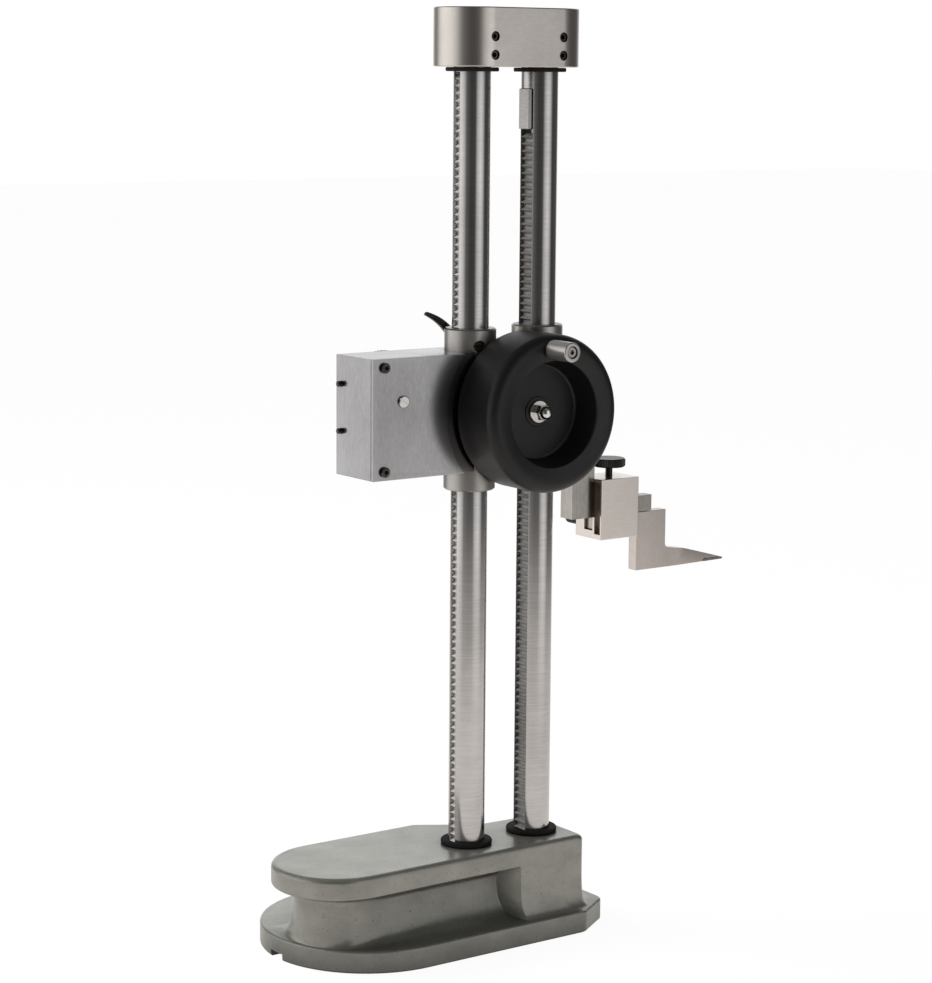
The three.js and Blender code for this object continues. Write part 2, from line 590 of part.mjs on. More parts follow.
const makeSliderBody = () => {
  const { webHalfWidth, webHalfHeight, roomHalfWidth } = slider
  const web = box(leftX, rightX, -webHalfWidth, webHalfWidth, -webHalfHeight, webHalfHeight)
  const boss = disc(lug.radius, 0, lug.reach, 'y').translate(-lug.x, 0, lugRise)
  const pad = box(arm.padInner, arm.left - fit.seat, -arm.padHalfWidth, arm.padHalfWidth,
    -arm.padBottom, -arm.padTop)
  const bore = (x) => disc(column.radius + fit.slide, -sliderHalf - fit.overrun, sliderHalf + fit.overrun,
    'z', sides.column).translate(x, 0, 0)
  const pinionRoom = disc(tipRadius(rackPinion.teeth, driveRack.module) + slider.roomClearance,
    -roomHalfWidth, roomHalfWidth, 'y').translate(rackPinionX, 0, rackPinionZ)
  const pinionBore = disc(rackPinion.journal + fit.slide, -roomHalfWidth - rackPinion.bearing - fit.seat,
    webHalfWidth + fit.overrun, 'y', sides.small).translate(rackPinionX, 0, rackPinionZ)
  const shaftBore = disc(driveShaft.journal + fit.slide, -webHalfWidth - fit.overrun, roomHalfWidth, 'y')
  const tailBore = disc(driveShaft.tail + fit.slide, 0, webHalfWidth + fit.overrun, 'y', sides.small)
  const measureRoom = disc(tipRadius(measureRack.pinionTeeth, measureModule) + slider.roomClearance,
    -measureRack.width / 2 - fit.seat, measureRack.width / 2 + fit.seat, 'y').translate(measureX, 0, 0)
  const leverBore = disc(lug.bore, 0, lug.reach + fit.overrun, 'y', sides.small)
    .translate(-lug.x, 0, lugRise)
  const gibBore = disc(gibScrew.radius + fit.slide, -slider.sleeveRadius - fit.overrun, 0, 'y', sides.small)
    .translate(-gibScrew.x, 0, gibScrew.rise)
  return cut(joined(web, sleeveSolid(leftX), sleeveSolid(rightX), boss, pad), bore(leftX), bore(rightX),
    pinionRoom, pinionBore, shaftBore, tailBore, measureRoom, leverBore, gibBore)
}
add(carriage, 'slider_body', makeSliderBody(), 'satin')

// Column clamp: a lever with its screw, the brass pad under it, and the gib screw
const padInner = column.radius + fit.slide
const padOuter = padInner + clampPad.length

const makeClampLever = () => {
  const outline = []
  for (let i = 0; i <= clampLever.steps; i += 1) {
    const share = i / clampLever.steps
    const half = THREE.MathUtils.lerp(clampLever.rootWidth, clampLever.tipWidth, share) / 2
    const sag = clampLever.bow * Math.sin(Math.PI * share)
    outline.push([clampLever.length * share, half - sag])
    outline.unshift([clampLever.length * share, -half - sag])
  }
  const seat = lug.reach + fit.seat
  const lever = joined(
    disc(clampLever.hubRadius, seat, seat + clampLever.hubHeight, 'y', sides.small),
    disc(clampLever.screwRadius, padOuter + fit.slide, seat + fit.slide, 'y', sides.tiny),
    plate(outline, seat + clampLever.hubHeight - clampLever.thickness, seat + clampLever.hubHeight),
  )
  return lever.rotateY(-THREE.MathUtils.degToRad(clampLever.angleDeg)).translate(-lug.x, 0, lugRise)
}
add(carriage, 'clamp_lever', makeClampLever(), 'dark')
add(carriage, 'clamp_pad',
  disc(clampPad.radius, padInner, padOuter, 'y', sides.tiny).translate(-lug.x, 0, lugRise), 'brass')

// A round head or screw along Y with a slot across its near end.
const slotted = (radius, from, to, slotWidth, slotDepth) => cut(
  disc(radius, from, to, 'y', sides.small),
  box(-2 * radius, 2 * radius, from - fit.overrun, from + slotDepth, -slotWidth / 2, slotWidth / 2),
)

const makeGibScrew = () => {
  const offset = gibScrew.x + leftX
  const front = -Math.sqrt(slider.sleeveRadius ** 2 - offset ** 2) + gibScrew.sink
  const screw = slotted(gibScrew.radius, front, -column.radius - fit.seat, gibScrew.slotWidth,
    gibScrew.slotDepth)
  return screw.translate(-gibScrew.x, 0, gibScrew.rise)
}
add(carriage, 'gib_screw', makeGibScrew(), 'dark')

// Gear case on the left sleeve, open at the back for its cover
const sleeveCut = () => disc(slider.sleeveRadius + fit.seat, -gearCase.halfHeight - fit.overrun,
  gearCase.halfHeight + fit.overrun, 'z', sides.rim).translate(leftX, 0, 0)
const recessFloor = -slider.sleeveRadius - fit.seat
const wheelCut = () =>
  disc(gearCase.wheelClearRadius, -gearCase.halfDepth - fit.overrun, recessFloor, 'y', sides.rim)
const coverPlaces = [['upper', coverScrewZ], ['lower', -coverScrewZ]]
const counterPlaces = [['up', dial.rise + counter.offset], ['down', dial.rise - counter.offset]]
const arborBore = (x, z, from, to) =>
  disc(train.arborRadius + fit.slide, from, to, 'y', sides.tiny).translate(x, 0, z)
const nearTrim = () => box(leftX - slider.sleeveRadius / 2, 0, -gearCase.halfDepth - fit.overrun, 0,
  -gearCase.halfHeight - fit.overrun, gearCase.halfHeight + fit.overrun)
const innerFaceY = gearCase.halfDepth - gearCase.faceWall
const cavityLeft = -gearCase.left + gearCase.wall
const cavityRight = -gearCase.right - gearCase.wall
const cavityHalf = gearCase.halfHeight - gearCase.wall
const bossEnd = -movementPlate.y - fit.seat

const makeGearCase = () => {
  const back = coverInner + fit.seat
  const shell = cut(
    box(-gearCase.left, -gearCase.right, back, gearCase.halfDepth, -gearCase.halfHeight, gearCase.halfHeight),
    box(cavityLeft, cavityRight, back - fit.overrun, innerFaceY, -cavityHalf, cavityHalf),
  )
  const recess = common(
    disc(gearCase.wheelClearRadius + gearCase.recessOverlap, back, recessFloor + gearCase.recessWall,
      'y', sides.rim),
    box(-gearCase.left + gearCase.wall / 2, -gearCase.right, back, 0,
      -gearCase.halfHeight + gearCase.wall / 2, gearCase.halfHeight - gearCase.wall / 2),
  )
  const bosses = coverPlaces.map(([, z]) =>
    disc(gearCase.bossRadius, back, bossEnd, 'y', sides.small).translate(-coverScrewX, 0, z))
  const tapped = coverPlaces.map(([, z]) => disc(coverScrew.radius + fit.slide, back - fit.overrun,
    coverInner + coverScrew.length, 'y', sides.tiny).translate(-coverScrewX, 0, z))
  const windows = counterPlaces.map(([, z]) => box(-dial.x - gearCase.windowLength / 2,
    -dial.x + gearCase.windowLength / 2, innerFaceY - fit.overrun, gearCase.halfDepth + fit.overrun,
    z - gearCase.windowHeight / 2, z + gearCase.windowHeight / 2))
  const buttonHoles = counterPlaces.map(([, z]) => disc(resetButton.radius + fit.seat,
    -gearCase.left - fit.overrun, cavityLeft + fit.overrun, 'x', sides.small).translate(0, counter.axleY, z))
  const faceBores = [[measureX, 0], [carryX, carryZ], [pointerX, pointerZ]].map(([x, z]) =>
    arborBore(x, z, 0, gearCase.halfDepth + fit.overrun))
  const recessBore = arborBore(measureX, 0, back - fit.overrun, 0)
  const lockBore = disc(bezelLock.radius + fit.slide, 0, gearCase.halfDepth + fit.overrun, 'y', sides.tiny)
    .translate(-bezelLock.x, 0, bezelLock.z)
  return cut(joined(shell, recess, ...bosses), sleeveCut(), wheelCut(), nearTrim(), recessBore, lockBore,
    ...tapped, ...windows, ...buttonHoles, ...faceBores)
}
add(carriage, 'gear_case', makeGearCase(), 'alloy')

const makeBackCover = () => {
  const through = (radius, x, z) => disc(radius + fit.slide, -gearCase.halfDepth - fit.overrun,
    coverInner + fit.overrun, 'y', sides.tiny).translate(x, 0, z)
  const sheet = box(-gearCase.left, -gearCase.right, -gearCase.halfDepth, coverInner,
    -gearCase.halfHeight, gearCase.halfHeight)
  return cut(sheet, wheelCut(), through(bearingScrew.radius, backlashX, backlashZ),
    ...coverPlaces.map(([, z]) => through(coverScrew.radius, -coverScrewX, z)))
}
add(carriage, 'back_cover', makeBackCover(), 'alloy')

for (const [row, z] of coverPlaces) {
  const seat = -gearCase.halfDepth - fit.seat
  const top = seat - coverScrew.headHeight
  const screw = cut(
    joined(
      disc(coverScrew.headRadius, top, seat, 'y', sides.small),
      disc(coverScrew.radius, top, seat + coverScrew.length, 'y', sides.tiny),
    ),
    hexSocket(coverScrew.socket, top - fit.overrun, top + coverScrew.socketDepth, 'y'),
  )
  add(carriage, `cover_screw_${row}`, screw.translate(-coverScrewX, 0, z), 'black')
}

const bearingEnd = -gearCase.halfDepth - fit.seat + bearingScrew.length
const makeBearingScrew = () => {
  const seat = -gearCase.halfDepth - fit.seat
  const head = slotted(bearingScrew.headRadius, seat - bearingScrew.headHeight, seat,
    bearingScrew.slotWidth, bearingScrew.slotDepth)
  const shank = disc(bearingScrew.radius, seat - bearingScrew.headHeight + bearingScrew.slotDepth, bearingEnd,
    'y', sides.tiny)
  return joined(head, shank).translate(backlashX, 0, backlashZ)
}
add(carriage, 'bearing_screw', makeBearingScrew(), 'chrome')

// Movement plate across the case, which carries the near ends of three arbors
const plateNear = -movementPlate.y
const plateFar = plateNear + movementPlate.thickness
const makeMovementPlate = () => {
  const half = cavityHalf - movementPlate.wallGap
  const left = cavityLeft + movementPlate.wallGap
  const blank = box(left, -movementPlate.right, plateNear, plateFar, -half, half)
  return cut(blank, ...[[carryX, carryZ], [pointerX, pointerZ], [backlashX, backlashZ]].map(([x, z]) =>
    arborBore(x, z, plateNear - fit.overrun, plateFar + fit.overrun)))
}
add(carriage, 'movement_plate', makeMovementPlate(), 'brass')

// Gear train. Each arbor is one turned piece with its wheel and pinion.
const measurePhase = rackPhase(measureRack.pinionTeeth, measureRack.pitch, slider.axisHeight)
const firstDirection = Math.atan2(carryZ, carryX - measureX)
const carryPhase = meshPhase(0, train.wheelTeeth, train.carryTeeth, firstDirection)
const secondDirection = Math.atan2(pointerZ - carryZ, pointerX - carryX)
const pointerPhase = meshPhase(0, train.secondTeeth, train.pointerTeeth, secondDirection)
const thirdDirection = Math.atan2(backlashZ - pointerZ, backlashX - pointerX)
const backlashPhase = meshPhase(pointerPhase, train.pointerTeeth, train.secondTeeth, thirdDirection)
const firstY = innerFaceY - train.firstGap - train.firstThickness
const pointerY = dialFaceY + dial.thickness + pointer.lift
const arbor = (from, to) => disc(train.arborRadius, from, to, 'y', sides.tiny)

const measureArbor = () => joined(
  arbor(recessFloor + fit.seat, gearCase.halfDepth - fit.seat),
  gear(measureRack.pinionTeeth, measureModule, measurePhase, -measureRack.width / 2, measureRack.width / 2),
  gear(train.wheelTeeth, train.firstModule, 0, firstY, firstY + train.firstThickness),
).translate(measureX, 0, 0)

const carryArbor = () => joined(
  arbor(plateNear, gearCase.halfDepth - fit.seat),
  gear(train.carryTeeth, train.firstModule, carryPhase, firstY - train.firstGap / 2,
    firstY - train.firstGap / 2 + train.pinionThickness),
  gear(train.secondTeeth, secondModule, 0, train.secondY, train.secondY + train.secondThickness),
).translate(carryX, 0, carryZ)

const pointerArbor = () => joined(
  arbor(plateNear, pointerY + pointer.hubHeight),
  gear(train.pointerTeeth, secondModule, pointerPhase, train.pinionStart, train.pinionEnd),
).translate(pointerX, 0, pointerZ)

const backlashArbor = () => joined(
  arbor(bearingEnd + fit.seat, train.backlashY + train.secondThickness),
  gear(train.secondTeeth, secondModule, backlashPhase, train.backlashY,
    train.backlashY + train.secondThickness),
).translate(backlashX, 0, backlashZ)

add(carriage, 'measuring_arbor', measureArbor(), 'brass')
add(carriage, 'carry_arbor', carryArbor(), 'brass')
add(carriage, 'pointer_arbor', pointerArbor(), 'brass')
add(carriage, 'backlash_arbor', backlashArbor(), 'brass')

// Counters: one frame with four ears, two axles and three number wheels on each
const stackHalf = counter.pitch + counter.wheelWidth / 2
const earInner = stackHalf + counter.endGap
const frameHalf = earInner + counter.earThickness
const makeCounterFrame = () => {
  const plateHalf = counter.offset + counter.plateMargin
  const floor = box(-dial.x - frameHalf, -dial.x + frameHalf, counter.plateY,
    counter.plateY + counter.plateThickness, dial.rise - plateHalf, dial.rise + plateHalf)
  const ears = counterPlaces.flatMap(([, z]) => [-frameHalf, earInner].map((x) =>
    box(-dial.x + x, -dial.x + x + counter.earThickness, counter.plateY, innerFaceY - fit.seat,
      z - counter.earHalfHeight, z + counter.earHalfHeight)))
  const axleBores = counterPlaces.map(([, z]) => disc(counter.axleRadius + fit.slide,
    -dial.x - frameHalf - fit.overrun, -dial.x + frameHalf + fit.overrun, 'x', sides.tiny)
    .translate(0, counter.axleY, z))
  const arborHole = disc(counter.arborHole, counter.plateY - fit.overrun,
    counter.plateY + counter.plateThickness + fit.overrun, 'y', sides.tiny).translate(-dial.x, 0, dial.rise)
  return cut(joined(floor, ...ears), ...axleBores, arborHole)
}
add(carriage, 'counter_frame', makeCounterFrame(), 'satin')

for (const [prefix, z] of counterPlaces) {
  const axle = disc(counter.axleRadius, -frameHalf, frameHalf, 'x', sides.tiny)
  add(carriage, `${prefix}_counter_axle`, axle.translate(-dial.x, counter.axleY, z), 'satin')
  counterDigits.forEach((digit, i) => {
    const centre = -dial.x + (1 - i) * counter.pitch
    const half = counter.wheelWidth / 2
    const wheel = ring(counter.wheelBore, counter.wheelRadius, -half, half, 'x', counter.facets)
    wheel.rotateX(Math.PI / counter.facets).translate(centre, counter.axleY, z)
    add(carriage, `${prefix}_counter_${digit}`, wheel, 'black')
  })
}

// Reset buttons, held by a collar behind the case wall
const makeResetButton = () => {
  const inner = -dial.x - frameHalf - resetButton.axleGap - resetButton.travel
  return joined(
    disc(resetButton.radius, -gearCase.left - resetButton.reach, inner, 'x', sides.small),
    disc(resetButton.collar, cavityLeft + fit.seat, cavityLeft + fit.seat + resetButton.collarLength,
      'x', sides.small),
  )
}
for (const [prefix, z] of counterPlaces) {
  add(carriage, `reset_button_${prefix}`, makeResetButton().translate(0, counter.axleY, z), 'satin')
}

// Dial with its pointer, turning bezel, crystal and lock screw
const makeDialPlate = () => {
  const from = dialFaceY
  const to = dialFaceY + dial.thickness
  const face = disc(dial.radius, from, to, 'y', sides.rim).translate(-dial.x, 0, dial.rise)
  const bore = disc(dial.bore, from - fit.overrun, to + fit.overrun, 'y', sides.tiny)
    .translate(-dial.x, 0, dial.rise)
  const windows = counterPlaces.map(([, z]) => box(-dial.x - dial.windowLength / 2,
    -dial.x + dial.windowLength / 2, from - fit.overrun, to + fit.overrun,
    z - dial.windowHeight / 2, z + dial.windowHeight / 2))
  return cut(face, bore, ...windows)
}
add(carriage, 'dial_plate', makeDialPlate(), 'white')

const bezelBack = dialFaceY + fit.slide
const makeBezel = () => {
  const front = bezelBack + bezel.depth
  const rim = knurled(bezel.outer, bezel.knurlDepth, bezel.knurls, bezelBack, front, 'y')
  const inside = turned([
    [0, bezelBack - fit.overrun], [dial.radius + fit.seat, bezelBack - fit.overrun],
    [dial.radius + fit.seat, bezelBack + bezel.skirtDepth], [bezel.ledge, bezelBack + bezel.skirtDepth],
    [bezel.ledge, bezelBack + bezel.crystalSeat], [bezel.bore, bezelBack + bezel.crystalSeat],
    [bezel.bore, front + fit.overrun], [0, front + fit.overrun],
  ], 'y', sides.rim)
  return cut(rim, inside).translate(-dial.x, 0, dial.rise)
}
add(carriage, 'bezel', makeBezel(), 'satin')

const crystalY = bezelBack + bezel.crystalSeat + fit.slide
const makeCrystal = () => disc(bezel.bore - fit.seat, crystalY, crystalY + crystal.thickness, 'y', sides.rim)
add(carriage, 'crystal', makeCrystal().translate(-dial.x, 0, dial.rise), 'glass')

const makePointer = () => {
  const { rootWidth, tipWidth, tail, length } = pointer
  const hand = plate([
    [-rootWidth / 2, -tail], [rootWidth / 2, -tail], [tipWidth / 2, length], [-tipWidth / 2, length],
  ], pointerY, pointerY + pointer.thickness)
  const hub = disc(pointer.hub, pointerY, pointerY + pointer.hubHeight, 'y', sides.small)
  const bore = disc(train.arborRadius + fit.slide, pointerY - fit.overrun,
    pointerY + pointer.hubHeight + fit.overrun, 'y', sides.tiny)
  return cut(joined(hand, hub), bore).translate(-dial.x, 0, dial.rise)
}
add(carriage, 'pointer', makePointer(), 'black')

const makeBezelLock = () => joined(
  disc(bezelLock.headRadius, dialFaceY, dialFaceY + bezelLock.headHeight, 'y', sides.small),
  disc(bezelLock.radius, dialFaceY - bezelLock.length, dialFaceY + fit.seat, 'y', sides.tiny),
).translate(-bezelLock.x, 0, bezelLock.z)
add(carriage, 'bezel_lock_screw', makeBezelLock(), 'satin')

// Handwheel: a dished rim on a hub, hollow at the back
const hubBack = -slider.webHalfWidth - driveShaft.webGap
const hubFront = -handwheel.dishFloor - handwheel.stepHeight
const makeHandwheel = () => {
  const w = handwheel
  const edge = arcPoints(w.radius - w.edge, w.front - w.edge, w.edge, 0, 90, 4).map(([r, y]) => [r, -y])
  const bore = driveShaft.wheelSeat + fit.slide
  const cavityFloor = -w.front + w.frontWall
  const webBack = -w.dishFloor + w.dishWall
  return turned([
    [bore, hubBack], [w.hubRadius, hubBack], [w.hubRadius, webBack], [w.dishFloorRadius, webBack],
    [w.dishRadius + w.dishWall, cavityFloor], [w.rimBackRadius, cavityFloor], [w.rimBackRadius, -w.back],
    [w.radius - w.backEdge, -w.back], [w.radius, -w.back - w.backEdge], ...edge,
    [w.crest, -w.front], [w.dishRadius, -w.dishRim], [w.dishFloorRadius, -w.dishFloor],
    [w.stepRadius, -w.dishFloor], [w.stepRadius, hubFront], [bore, hubFront], [bore, hubBack],
  ], 'y', sides.rim)
}
const crankAngle = THREE.MathUtils.degToRad(crank.leanDeg)
const crankX = -crank.orbit * Math.sin(crankAngle)
const crankZ = crank.orbit * Math.cos(crankAngle)
const crankBore = disc(crank.screwRadius + fit.slide, wheelFront - fit.overrun, -handwheel.back,
  'y', sides.small)
add(carriage, 'handwheel', cut(makeHandwheel(), crankBore.translate(crankX, 0, crankZ)), 'black')

// Drive shaft with its pinion, and the rack pinion that it turns
const pinionDirection = Math.atan2(-rackPinionZ, -rackPinionX)
const rackPinionPhase = rackPhase(rackPinion.teeth, drivePitch, slider.axisHeight + rackPinionZ)
const shaftPhase = meshPhase(rackPinionPhase, rackPinion.teeth, driveShaft.teeth, pinionDirection)
const pinionHalf = slider.roomHalfWidth - driveShaft.pinionGap
const washerBack = hubFront - fit.seat
const washerFront = washerBack - hubWasher.thickness
const nutBack = washerFront - fit.seat
const noseEnd = nutBack - driveShaft.noseLength

const makeDriveShaft = () => joined(
  turned([
    [0, noseEnd], [driveShaft.nose, noseEnd], [driveShaft.nose, hubFront],
    [driveShaft.wheelSeat, hubFront], [driveShaft.wheelSeat, -slider.webHalfWidth],
    [driveShaft.journal, -slider.webHalfWidth], [driveShaft.journal, -pinionHalf], [0, -pinionHalf],
  ], 'y'),
  gear(driveShaft.teeth, driveRack.module, shaftPhase, -pinionHalf - fit.seat, pinionHalf),
  disc(driveShaft.tail, 0, slider.webHalfWidth - fit.seat, 'y', sides.small),
)
add(carriage, 'drive_shaft', makeDriveShaft(), 'satin')

const makeRackPinion = () => joined(
  gear(rackPinion.teeth, driveRack.module, rackPinionPhase, -pinionHalf, pinionHalf),
  disc(rackPinion.journal, -slider.roomHalfWidth - rackPinion.bearing, slider.webHalfWidth - fit.seat,
    'y', sides.small),
).translate(rackPinionX, 0, rackPinionZ)
add(carriage, 'rack_pinion', makeRackPinion(), 'satin')

add(carriage, 'hub_washer',
  ring(driveShaft.nose + fit.slide, hubWasher.radius, washerFront, washerBack, 'y', sides.small), 'satin')

const makeCapNut = () => {
  const hexEnd = nutBack - capNut.hexHeight
  const dome = turned([
    [0, hexEnd - capNut.domeHeight],
    [capNut.domeRadius * Math.SQRT1_2, hexEnd - capNut.domeHeight * Math.SQRT1_2],
    [capNut.domeRadius, hexEnd], [capNut.domeRadius, nutBack - capNut.hexHeight / 2],
    [0, nutBack - capNut.hexHeight / 2],
  ], 'y', sides.small)
  const bore = disc(driveShaft.nose + fit.slide, noseEnd - fit.seat, nutBack + fit.overrun, 'y', sides.small)
  return cut(joined(disc(capNut.radius, hexEnd, nutBack, 'y', sides.hex), dome), bore)
}
add(carriage, 'cap_nut', makeCapNut(), 'chrome')

// Crank handle on its shoulder screw
const crankRoot = wheelFront - crank.gap
const crankEnd = crankRoot - crank.length
const boreFloor = crankEnd + crank.counterboreDepth
const makeCrankHandle = () => turned([
  [crank.bore, crankRoot], [crank.radius - crank.edge, crankRoot], [crank.radius, crankRoot - crank.edge],
  [crank.radius, crankEnd + crank.edge], [crank.radius - crank.edge, crankEnd], [crank.counterbore, crankEnd],
  [crank.counterbore, boreFloor], [crank.bore, boreFloor], [crank.bore, crankRoot],
], 'y', sides.small).translate(crankX, 0, crankZ)
add(carriage, 'crank_handle', makeCrankHandle(), 'chrome')

const makeCrankScrew = () => {
  const headBack = boreFloor - fit.seat
  const headFront = headBack - crank.screwHeadHeight
  return cut(
    joined(
      disc(crank.screwHead, headFront, headBack, 'y', sides.small),
      disc(crank.screwRadius, headFront, wheelFront + crank.screwDepth, 'y', sides.small),
    ),
    hexSocket(crank.socket, headFront - fit.overrun, headFront + crank.socketDepth, 'y'),
  ).translate(crankX, 0, crankZ)
}
add(carriage, 'crank_screw', makeCrankScrew(), 'satin')

// Measuring arm: an upright plate on the right sleeve's pad, and a tongue for the scriber clamp
const tongueTop = -arm.bottom + arm.tongueHeight
const makeArm = () => {
  const halfWidth = arm.thickness / 2
  return plate([
    [arm.left, -arm.bottom], [arm.tongueEnd, -arm.bottom], [arm.tongueEnd, tongueTop],
    [arm.right, tongueTop], [arm.right, -arm.top - arm.corner], [arm.right - arm.corner, -arm.top],
    [arm.left, -arm.top],
  ], -halfWidth, halfWidth)
}
add(carriage, 'measuring_arm', makeArm(), 'satin')

// Scriber, with its carbide tip let in underneath
const shankTop = -arm.bottom - scriberClamp.windowGap
const shankBottom = shankTop - scriber.shankHeight
const scriberOutline = () => [
  [scriber.shankLeft, shankTop], [scriber.shankLeft, shankBottom],
  ...roundedCorner([scriber.shankLeft, shankBottom], [scriber.legLeft, shankBottom],
    [scriber.legLeft, scriberBottom], scriber.fillet, 3),
  [scriber.legLeft, scriberBottom], [scriber.tipX, scriberBottom],
  [scriber.tipX, scriberBottom + scriber.tipRise],
  [scriber.bladeKnee, scriberBottom + scriber.kneeRise],
  ...roundedCorner([scriber.bladeKnee, scriberBottom + scriber.kneeRise],
    [scriber.legRight, scriberBottom + scriber.bladeRise], [scriber.legRight, shankTop], scriber.fillet, 3),
  [scriber.legRight, shankTop],
]

const scriberBlank = () => {
  const half = scriber.thickness / 2
  const tipHalf = scriber.tipWidth / 2
  const plan = slab([
    [0, -half], [scriber.taperStart, -half], [scriber.tipX + fit.overrun, -tipHalf],
    [scriber.tipX + fit.overrun, tipHalf], [scriber.taperStart, half], [0, half],
  ], scriberBottom - fit.overrun, shankTop + fit.overrun)
  return common(plate(scriberOutline(), -scriber.thickness, scriber.thickness), plan)
}

const tipBox = (gap) => box(scriber.tipX - carbide.length - gap, scriber.tipX + fit.overrun,
  -scriber.thickness, scriber.thickness, scriberBottom - fit.overrun, scriberBottom + carbide.thickness + gap)
add(carriage, 'scriber', cut(scriberBlank(), tipBox(fit.seat)), 'satin')
add(carriage, 'carbide_tip', common(scriberBlank(), tipBox(0)), 'dark')

// Scriber clamp: a frame round the tongue and the scriber, with two knurled screws
const clampLeft = arm.right + scriberClamp.gap
const clampRight = clampLeft + scriberClamp.length
const windowHalf = arm.thickness / 2 + scriberClamp.sideGap
const makeScriberClamp = () => {
  const { halfWidth, top, bottom, windowGap } = scriberClamp
  const frame = box(clampLeft, clampRight, -halfWidth, halfWidth, -bottom, -top)
  const window = box(clampLeft - fit.overrun, clampRight + fit.overrun, -windowHalf, windowHalf,
    shankBottom - windowGap, tongueTop + windowGap)
  const knobBore = disc(clampKnob.stem + fit.slide, tongueTop, -top + fit.overrun, 'z', sides.small)
    .translate(clampKnob.x, 0, 0)
  const sideBore = disc(sideScrew.stem + fit.slide, 0, halfWidth + fit.overrun, 'y', sides.small)
    .translate(sideScrew.x, 0, -sideScrew.drop)
  return cut(frame, window, knobBore, sideBore)
}
add(carriage, 'scriber_clamp', makeScriberClamp(), 'satin')

const makeClampKnob = () => {
  const headBottom = -scriberClamp.top + clampKnob.neck
  return joined(
    knurled(clampKnob.radius, clampKnob.knurlDepth, clampKnob.knurls, headBottom,
      headBottom + clampKnob.thickness, 'z'),
    disc(clampKnob.stem, tongueTop + fit.seat, headBottom + clampKnob.thickness / 2, 'z', sides.small),
  ).translate(clampKnob.x, 0, 0)
}
add(carriage, 'clamp_knob', makeClampKnob(), 'dark')

const makeSideScrew = () => {
  const neckFrom = scriberClamp.halfWidth + fit.seat
  const headFrom = neckFrom + sideScrew.neckLength
  return joined(
    disc(sideScrew.stem, scriber.thickness / 2 + fit.seat, headFrom, 'y', sides.small),
    disc(sideScrew.neckRadius, neckFrom, headFrom + fit.seat, 'y', sides.small),
    knurled(sideScrew.radius, sideScrew.knurlDepth, sideScrew.knurls, headFrom,
      headFrom + sideScrew.headLength, 'y'),
  ).translate(sideScrew.x, 0, -sideScrew.drop)
}
add(carriage, 'side_screw', makeSideScrew(), 'dark')

export default group
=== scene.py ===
"""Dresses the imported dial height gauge: fine surfaces, finishes, studio and camera.

Sizes are in millimetres. Heights on the slider are measured from the handwheel's axis.
"""

import logging
import math
from collections.abc import Sequence
from dataclasses import dataclass
from enum import Enum

import bmesh
import bpy
from mathutils import Matrix, Vector, geometry


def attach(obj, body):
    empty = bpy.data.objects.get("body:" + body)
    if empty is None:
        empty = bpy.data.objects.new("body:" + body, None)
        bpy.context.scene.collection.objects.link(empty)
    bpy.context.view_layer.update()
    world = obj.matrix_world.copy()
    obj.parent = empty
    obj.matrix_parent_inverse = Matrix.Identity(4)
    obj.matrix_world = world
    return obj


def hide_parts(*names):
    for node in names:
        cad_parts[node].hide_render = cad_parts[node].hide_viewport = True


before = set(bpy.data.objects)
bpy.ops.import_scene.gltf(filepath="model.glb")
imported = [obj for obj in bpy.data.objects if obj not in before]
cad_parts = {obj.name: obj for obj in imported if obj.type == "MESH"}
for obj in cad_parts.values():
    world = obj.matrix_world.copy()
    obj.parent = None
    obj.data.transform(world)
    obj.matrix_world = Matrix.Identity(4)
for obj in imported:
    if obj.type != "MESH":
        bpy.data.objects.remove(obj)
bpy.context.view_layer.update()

log = logging.getLogger("gauge")

MM = 0.001
FULL_TURN = 2 * math.pi
# How many sides round shapes have, from the largest down to a hexagon.
SMOOTHEST, SMOOTH, FINE, MEDIUM, SMALL, HEX = 192, 128, 96, 48, 24, 6
# How far a cutter reaches past a face, and the gaps of a seat and of a sliding fit.
OVERRUN, SEAT, SLIDE = 2.0, 0.2, 0.15
# Distances under which things touch, spun points are one, and points of a finished piece are one.
TOUCHING, SAME, WELD = 1e-9, 1e-4, 1e-3
# How often a boolean is made at most, and how far its volume may be off, as a share of the larger form.
TRIES, VOLUME_SLACK = 6, 1e-3
# The least angle between two faces whose edge is bevelled.
BEVEL_ANGLE = math.radians(25)
# Places that the sub-assemblies share.
AXIS_HEIGHT = 296.0
COLUMN_X = 22.5
COLUMN_RADIUS = 10.0
BASE_HEIGHT = 54.0
CROWN_HEIGHT = 478.0

Pair = tuple[float, float]
Triple = tuple[float, float, float]
Tree = bpy.types.NodeTree
Socket = bpy.types.NodeSocket

COLUMNS = (("left", -COLUMN_X), ("right", COLUMN_X))


class Axis(Enum):
    """The direction that a form is spun round or extruded along."""

    X = (1.0, 0.0, 0.0)
    Y = (0.0, 1.0, 0.0)
    Z = (0.0, 0.0, 1.0)

    def turn(self) -> Matrix:
        """Returns the turn that brings the Z axis onto this one."""
        return Vector((0.0, 0.0, 1.0)).rotation_difference(Vector(self.value)).to_matrix().to_4x4()

    def place(self, first: float, second: float, along: float) -> Triple:
        """Finds a point from its coordinates across and along this axis.

        Args:
            first: The first coordinate across the axis.
            second: The second one.
            along: The coordinate along it.

        Returns:
            The point.
        """
        if self is Axis.X:
            return along, first, second
        if self is Axis.Y:
            return first, along, second
        return first, second, along


# Colours and nodes
def linear(code: str) -> tuple[float, float, float, float]:
    """Turns an sRGB hex code into linear red, green, blue and alpha.

    Args:
        code: Six hex digits.

    Returns:
        The linear colour with full alpha.
    """
    shares = [int(code[i : i + 2], 16) / 255 for i in (0, 2, 4)]
    red, green, blue = (s / 12.92 if s <= 0.04045 else ((s + 0.055) / 1.055) ** 2.4 for s in shares)
    return red, green, blue, 1.0


